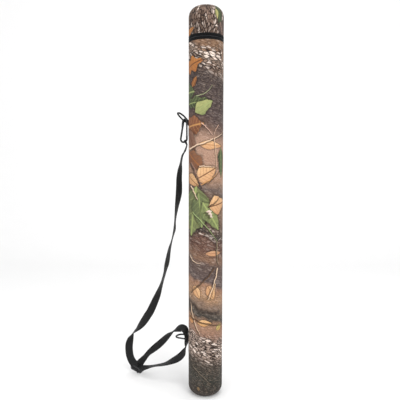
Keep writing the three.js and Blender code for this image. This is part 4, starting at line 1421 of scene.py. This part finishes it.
SLIT_LOW, SLIT_HIGH = ZIP_Z - SLIT_HALF, ZIP_Z + SLIT_HALF
lower_tape = tape("zipper_tape_lower_cloth", BAND_LOW + 0.3, SLIT_LOW, False)
upper_tape = tape("zipper_tape_upper_cloth", SLIT_HIGH, BAND_HIGH - 0.3, True)
lower_teeth = coil_teeth("zipper_teeth_lower", SLIT_LOW - 2.8, ZIP_Z + 0.35, 0.0, True)
upper_teeth = coil_teeth("zipper_teeth_upper", ZIP_Z - 0.35, SLIT_HIGH + 2.8, 0.5, False)
ROW_IN, STITCH_PITCH = 1.7, 3.6
zip_turn = (ZIP_FROM + 1, ZIP_TO - 1, STITCH_PITCH)
lower_rows = ring_stitches("zipper_stitches_lower", TAPE_OUT, BAND_LOW + ROW_IN, *zip_turn)
upper_rows = ring_stitches("zipper_stitches_upper", TAPE_OUT, BAND_HIGH - ROW_IN, *zip_turn)

STOP_BAND = rounded_band(51.35, 52.2, 1048.2, 1053.2, 0.25)
STOP_HALF_DEG = 1.1


def zip_stop(node):
    """A clip on the lower tape, where the CAD has that stop."""
    low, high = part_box(node)
    middle = (low + high) / 2
    a = math.degrees(math.atan2(middle.y, middle.x))
    return turned(node + "_clip", STOP_BAND, NYLON, 4, a - STOP_HALF_DEG, a + STOP_HALF_DEG)


stops = [(zip_stop(node), node) for node in ("zip_stop_closed", "zip_stop_open")]


HINGE_HALF_DEG = 23.4
VALLEY, VALLEY_HALF = 0.35, 1.6
RIB, RIB_RATE = 0.08, 2.6


def hinge_cloth():
    """The strip of doubled tape that the lid turns on, with a soft valley across its middle."""
    half, rows, columns = math.radians(HINGE_HALF_DEG), 24, 28
    low, high = BAND_LOW + 0.3, BAND_HIGH - 0.3
    vertices = []
    for layer in (0, 1):
        for j in range(rows + 1):
            z = low + (high - low) * j / rows
            valley = VALLEY * math.exp(-((z - ZIP_Z) / VALLEY_HALF) ** 2)
            rib = RIB * math.sin((z - low) * RIB_RATE)
            for i in range(columns + 1):
                a = math.pi / 2 - half + 2 * half * i / columns
                r = TAPE_IN if layer else TAPE_OUT - valley + rib
                vertices.append(round_place(r, a, z) * MM)
    return outward(new_object("lid_hinge_cloth", vertices, sheet_faces(rows, columns), TAPE))


hinge = hinge_cloth()

# ---------- slider and pull tab ----------
SLIDER_DEG = 57.0
SLIDER_TURN = Matrix.Rotation(math.radians(SLIDER_DEG), 4, "Z")
PLATE_R, BRIDGE_R, PLATE_T, BACK_R = 52.6, 56.2, 1.1, 46.5
PLATE_HALF_DEG = 6
BRIDGE_HALF, BRIDGE_BEND, BRIDGE_WIRE = 3.8, 1.5, 0.85


def bent_plate(name, outline, inner, outer, material):
    """A plate wrapped on the tube's curve: the outline is (along, z) in millimetres."""
    columns, rows = 12, 8
    vertices = []
    for r in (outer, inner):
        for j in range(rows + 1):
            t = j / rows
            for i in range(columns + 1):
                along = -1 + 2 * i / columns
                low, high = outline(along)
                a = along * math.radians(PLATE_HALF_DEG)
                vertices.append(round_place(r, a, low + (high - low) * t) * MM)
    made = outward(new_object(name, vertices, sheet_faces(rows, columns), material))
    return softened(made, 0.0003, 2, 50)


def slider_outline(along):
    """Low and high edge of the slider's plates: wide at its mouth, narrow at its tail."""
    half = 5.0 - 1.3 * max(0.0, -along) ** 1.5 - 0.5 * max(0.0, along) ** 3
    return ZIP_Z - half, ZIP_Z + half


slider_front = bent_plate("zip_slider_front", slider_outline, PLATE_R, PLATE_R + PLATE_T, GUNMETAL)
slider_back = bent_plate("zip_slider_back", slider_outline, BACK_R, BACK_R + PLATE_T, GUNMETAL)
slider_web = softened(block("zip_slider_web", (6.4, 3.6, 1), (49.8, 0, ZIP_Z), GUNMETAL), 0.0002)
bridge_line = rounded_line([(PLATE_R + 0.3, -BRIDGE_HALF), (BRIDGE_R, -BRIDGE_HALF, BRIDGE_BEND),
                            (BRIDGE_R, BRIDGE_HALF, BRIDGE_BEND), (PLATE_R + 0.3, BRIDGE_HALF)])
bridge_points = [Vector((p.x, p.y, ZIP_Z)) * MM for p in bridge_line]
bridge_frames = [(c, s * MM, u * MM) for c, s, u in wire_frames(bridge_points, UP)]
slider_bridge = sweep("zip_slider_bridge", bridge_frames, round_section(BRIDGE_WIRE, 14), GUNMETAL)

PULL_LENGTH, PULL_HALF, PULL_T = 30.0, 4.0, 1.4
PULL_EYE, PULL_NECK = 2.3, 4.5          # the eye end's radius, and how far below it the neck starts


def pull_outline():
    """Closed outline of the pull tab, hanging down from its eye."""
    points = []
    for k in range(13):
        a = math.radians(-25 + 230 * k / 12)
        points.append((PULL_EYE * math.cos(a), PULL_EYE * math.sin(a)))
    points += [(-PULL_EYE, -PULL_NECK), (-PULL_HALF + 0.3, -9), (-PULL_HALF, -13)]
    for k in range(13):
        a = math.pi + math.pi * k / 12
        points.append((PULL_HALF * math.cos(a), PULL_HALF - PULL_LENGTH + PULL_HALF * math.sin(a)))
    return points + [(PULL_HALF, -13), (PULL_HALF - 0.3, -9), (PULL_EYE, -PULL_NECK)]


pull_plate = plate_of("zip_pull_plate", [pull_outline()], PULL_T, 0.4, GUNMETAL)
pull_turn = Matrix.Rotation(math.pi / 2, 3, "Z") @ Matrix.Rotation(math.pi / 2, 3, "X")
at_bridge = Vector((BRIDGE_R, 0, ZIP_Z)) * MM
settle(pull_plate, turned_to(pull_turn, at_bridge))
grip_bars = [block("grip", (2.0, 4.6, 0.7), (BRIDGE_R, 0, ZIP_Z - 15 - 2.4 * k), GUNMETAL) for k in range(5)]
pull_grips = softened(merged("zip_pull_grips", grip_bars), 0.0002)
pull_eye = turned("zip_pull_eye", rounded_band(1.2, 2.45, -2.4, 2.4, 0.3), GUNMETAL, 28)
settle(pull_eye, Matrix.Translation(at_bridge) @ Matrix.Rotation(math.pi / 2, 4, "X"))
slider_pieces = [slider_front, slider_back, slider_web, slider_bridge]
pull_pieces = [pull_plate, pull_grips, pull_eye]
for piece in slider_pieces + pull_pieces:
    settle(piece, SLIDER_TURN)

# ---------- inside ----------
FOAM_OUT, FOAM_IN, LINER_OUT, LINER_IN, LINING_OUT, LINING_IN = 49.5, 47.3, 47.0, 44.6, 44.3, 43.7
BUMPER_LOW, BUMPER_ROUND = 1.5, 25.1


def wall(inner, outer, low, high, rows, edge=0.5):
    """A closed loop of (radius, z) for a tube wall with rows along it and rounded rims."""
    outside = [(outer, low + edge + (high - low - 2 * edge) * k / rows) for k in range(rows + 1)]
    inside = [(inner, z) for _, z in outside[::-1]]
    return [(outer - edge, low), *outside, (outer - edge, high),
            (inner + edge, high), *inside, (inner + edge, low)]


def closed_disc(profile):
    """A loop for a solid of revolution from its axis out and back."""
    return [(0.0, profile[0][1]), *profile, (0.0, profile[-1][1])]


bumper_round = [(24.4 + BUMPER_ROUND * math.sin(a), BUMPER_LOW + BUMPER_ROUND * (1 - math.cos(a)))
                for a in quarter(8)]
bumper = turned("case_base_bumper", closed_disc(
    [(22, BUMPER_LOW), *bumper_round, (FOAM_IN, 26.6), (FOAM_IN, 18.1), (46.9, 17.7), (24, 17.7)]),
    FOAM, 72, wobble=0.2, seed=1.0)
padding = turned("case_foam_padding", wall(FOAM_IN, FOAM_OUT, 26.9, 1045.0, 60, 0.6), FOAM,
                 wobble=0.15, seed=2.0)
liner = turned("case_rigid_tube", wall(LINER_IN, LINER_OUT, 20.5, 1046.0, 20, 0.7), TUBE_PLASTIC, 120)
plug = turned("tube_end_plug_disc", closed_disc(
    [(30, 18), (46.4, 18), (47, 18.6), (47, 20.1), (44.3, 20.3), (44.3, 25.4), (43.7, 26), (30, 26),
     (29, 25.2), (12, 25.2)]), BLACK_PLASTIC)
cushion = turned("case_butt_cushion", closed_disc(
    [(38, 26.4), (43.6, 26.9), (44.2, 29.5), (43.8, 33), (41, 34.4), (30, 34.9), (16, 35.0)]), FOAM, 72,
    wobble=0.15, seed=4.0)
lining_rows = [50 + 990 * k / 40 for k in range(41)] + [1043]
lining_loop = [(0.0, 35.3), (30, 35.3), (LINING_OUT, 35.4)] + [(LINING_OUT, z) for z in lining_rows]
lining_loop += [(LINING_IN, z) for z in lining_rows[::-1]] + [(LINING_IN, 36.0), (30, 35.9), (0.0, 35.9)]
lining = turned("case_inner_lining", lining_loop, LINING, 120)
mouth_loop = [(43.7, 1043.5), (44.2, 1043.4), (44.3, 1045.9), (44.6, 1046.3), (48.9, 1046.3), (49.4, 1046.6),
              (49.45, 1047.1), (48.9, 1047.5), (46.6, 1047.75), (44.4, 1047.5), (43.8, 1046.9)]
mouth = turned("case_mouth_binding", mouth_loop, TAPE, 120)
mouth_rows = ring_stitches("mouth_binding_stitches", 45.6, 1047.75, 0, 360, STITCH_PITCH, UP)

SHELL_TOP, SHELL_FLAT, SHELL_ROUND, SHELL_T = 1146.5, 20.3, 29.2, 3


def shell_crown(inset):
    """The lid shell's rounding from its axis to its wall, that far inside its outer face."""
    radius, top = SHELL_ROUND - inset, SHELL_TOP - inset
    return [(0.0, top)] + [(SHELL_FLAT + radius * math.sin(a), top - radius * (1 - math.cos(a)))
                           for a in quarter(10)]


shell_wall = [(49.5, 1090), (49.5, 1063), (49.0, 1062.4), (47.0, 1062.4), (46.5, 1063), (46.5, 1090)]
shell_loop = shell_crown(0) + shell_wall + shell_crown(SHELL_T)[::-1]
lid_shell = turned("lid_moulded_shell", shell_loop, FOAM, wobble=0.12, seed=5.0)
crown_pad = turned("lid_crown_pad_foam", closed_disc(
    [(20, 1143.1), (20.5, 1143.0), (27, 1141.2), (32.6, 1138.8), (33.1, 1137.2), (32.6, 1135.4), (30, 1134.6),
     (16, 1134.2)]), LINING, 72, wobble=0.2, seed=6.0)
lid_lining = turned("lid_inner_lining", wall(45.6, 46.2, 1062.4, 1117.2, 14, 0.2), LINING, 120)
lid_binding = turned("lid_mouth_binding", rounded_band(45.6, 49.45, 1060.6, 1062.1, 0.6, 4), TAPE, 120)
lid_rows = ring_stitches("lid_binding_stitches", 47.5, 1060.6, 0, 360, STITCH_PITCH, DOWN)

# ---------- bodies and the CAD nodes that each piece stands for, with a material slot listed but not used ---
CAMO, TAPE_SLOT, WEB_SLOT, FOAM_SLOT = "camo_fabric", "black_tape", "black_webbing", "foam"
TUBE_SLOT = "tube_plastic"
LINING_SLOT, ZIP_SLOT, METAL_SLOT, PLASTIC_SLOT = "lining_cloth", "zip_nylon", "gunmetal", "black_plastic"
PIECES = [
    # piece, body, material slot, CAD nodes that it stands for
    (body_cover, "case", CAMO, ["body_cover"]),
    (body_seam, "case", TAPE_SLOT, []),
    (bumper, "case", FOAM_SLOT, ["base_bumper"]),
    (padding, "case", FOAM_SLOT, ["body_padding"]),
    (liner, "case", TUBE_SLOT, ["tube_liner"]),
    (plug, "case", PLASTIC_SLOT, ["tube_end_plug"]),
    (cushion, "case", FOAM_SLOT, ["butt_cushion"]),
    (lining, "case", LINING_SLOT, ["inner_lining"]),
    (mouth, "case", TAPE_SLOT, ["mouth_binding"]),
    (mouth_rows, "case", TAPE_SLOT, []),
    (lower_tape, "case", TAPE_SLOT, ["zipper_tape_lower"]),
    (lower_teeth, "case", ZIP_SLOT, ["zipper_coil_lower"]),
    (lower_rows, "case", TAPE_SLOT, []),
    (upper_tab, "case", WEB_SLOT, ["upper_tab"]),
    (upper_tab_stitches, "case", TAPE_SLOT, []),
    (lower_tab, "case", WEB_SLOT, ["lower_tab"]),
    (lower_tab_stitches, "case", TAPE_SLOT, []),
    (adjuster, "case", PLASTIC_SLOT, ["strap_adjuster"]),
    (adjuster_ribs, "case", PLASTIC_SLOT, []),
    (lid_cover, "lid", CAMO, ["lid_cover"]),
    (lid_seam, "lid", TAPE_SLOT, []),
    (crown_stitches, "lid", TAPE_SLOT, []),
    (lid_shell, "lid", FOAM_SLOT, ["lid_shell"]),
    (crown_pad, "lid", LINING_SLOT, ["lid_crown_pad"]),
    (lid_lining, "lid", LINING_SLOT, ["lid_lining"]),
    (lid_binding, "lid", TAPE_SLOT, ["lid_binding"]),
    (lid_rows, "lid", TAPE_SLOT, []),
    (upper_tape, "lid", TAPE_SLOT, ["zipper_tape_upper"]),
    (upper_teeth, "lid", ZIP_SLOT, ["zipper_coil_upper"]),
    (upper_rows, "lid", TAPE_SLOT, []),
    (slider_front, "zip_slider", METAL_SLOT, ["zip_slider_body"]),
    (slider_back, "zip_slider", METAL_SLOT, []),
    (slider_web, "zip_slider", METAL_SLOT, []),
    (slider_bridge, "zip_slider", METAL_SLOT, []),
    (pull_plate, "zip_pull", METAL_SLOT, ["zip_pull_tab"]),
    (pull_grips, "zip_pull", METAL_SLOT, []),
    (pull_eye, "zip_pull", METAL_SLOT, []),
    (upper_ring, "upper_ring", METAL_SLOT, ["upper_d_ring"]),
    (lower_ring, "lower_ring", METAL_SLOT, ["lower_d_ring"]),
    (hook_frame, "snap_hook", METAL_SLOT, ["hook_frame"]),
    (hook_tang, "snap_hook", METAL_SLOT, []),
    (hook_rivet, "snap_hook", METAL_SLOT, ["hook_rivet"]),
    (end_loop, "snap_hook", WEB_SLOT, ["strap_end_loop"]),
    (hook_gate, "hook_gate", METAL_SLOT, ["hook_gate"]),
    (gate_tongue, "hook_gate", METAL_SLOT, []),
]
PIECES += [(stop, "case", ZIP_SLOT, [node]) for stop, node in stops]
for piece, body, slot, stands_for in PIECES:
    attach(piece, body)
    if stands_for:
        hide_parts(*stands_for)

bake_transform(hinge)
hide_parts("hinge_flap")

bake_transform(strap)
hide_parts("strap_main", "strap_lower_run", "strap_upper_run")

# ---------- floor, backdrop and light ----------
FLOOR_HALF, SWEEP_RADIUS, BACK_Y, BACK_TOP = 4.0, 0.8, 2.6, 4.0
FLOOR_DROP = 0.0004                    # the floor lies this far below the case's base
backdrop_line = [(-3.0, 0.0), (0.0, 0.0), (BACK_Y - SWEEP_RADIUS, 0.0)]
backdrop_line += [(BACK_Y - SWEEP_RADIUS + SWEEP_RADIUS * math.sin(a), SWEEP_RADIUS * (1 - math.cos(a)))
                  for a in quarter(12)[1:]]
backdrop_line.append((BACK_Y, BACK_TOP))
floor_material = new_material("studio_floor", grey(0.86), 0.9, specular=0.1)[0]
floor_vertices = [(x, y, z - FLOOR_DROP) for y, z in backdrop_line for x in (-FLOOR_HALF, FLOOR_HALF)]
floor_faces = [[2 * i, 2 * i + 1, 2 * i + 3, 2 * i + 2] for i in range(len(backdrop_line) - 1)]
floor = new_object("studio_floor", floor_vertices, floor_faces, floor_material)

world = bpy.data.worlds.new("studio")
world.use_nodes = True
sky = world.node_tree.nodes["Background"].inputs
sky["Color"].default_value = grey(1.0)
sky["Strength"].default_value = 0.85
bpy.context.scene.world = world


def soft_light(name, place, aim, size, power):
    data = bpy.data.lights.new(name, "AREA")
    data.size = size
    data.energy = power
    made = linked(name, data)
    made.location = place
    made.rotation_euler = (Vector(aim) - Vector(place)).to_track_quat("-Z", "Y").to_euler()


soft_light("key", (1.3, -2.5, 2.1), (0, 0, 0.5), 1.6, 50)
soft_light("fill", (-1.7, -2.1, 1.1), (0, 0, 0.45), 1.8, 22)
soft_light("top", (0.2, -0.2, 3.2), (0, 0.1, 0), 2.2, 26)

bpy.context.scene.view_settings.view_transform = "Standard"
bpy.context.scene.view_settings.look = "None"
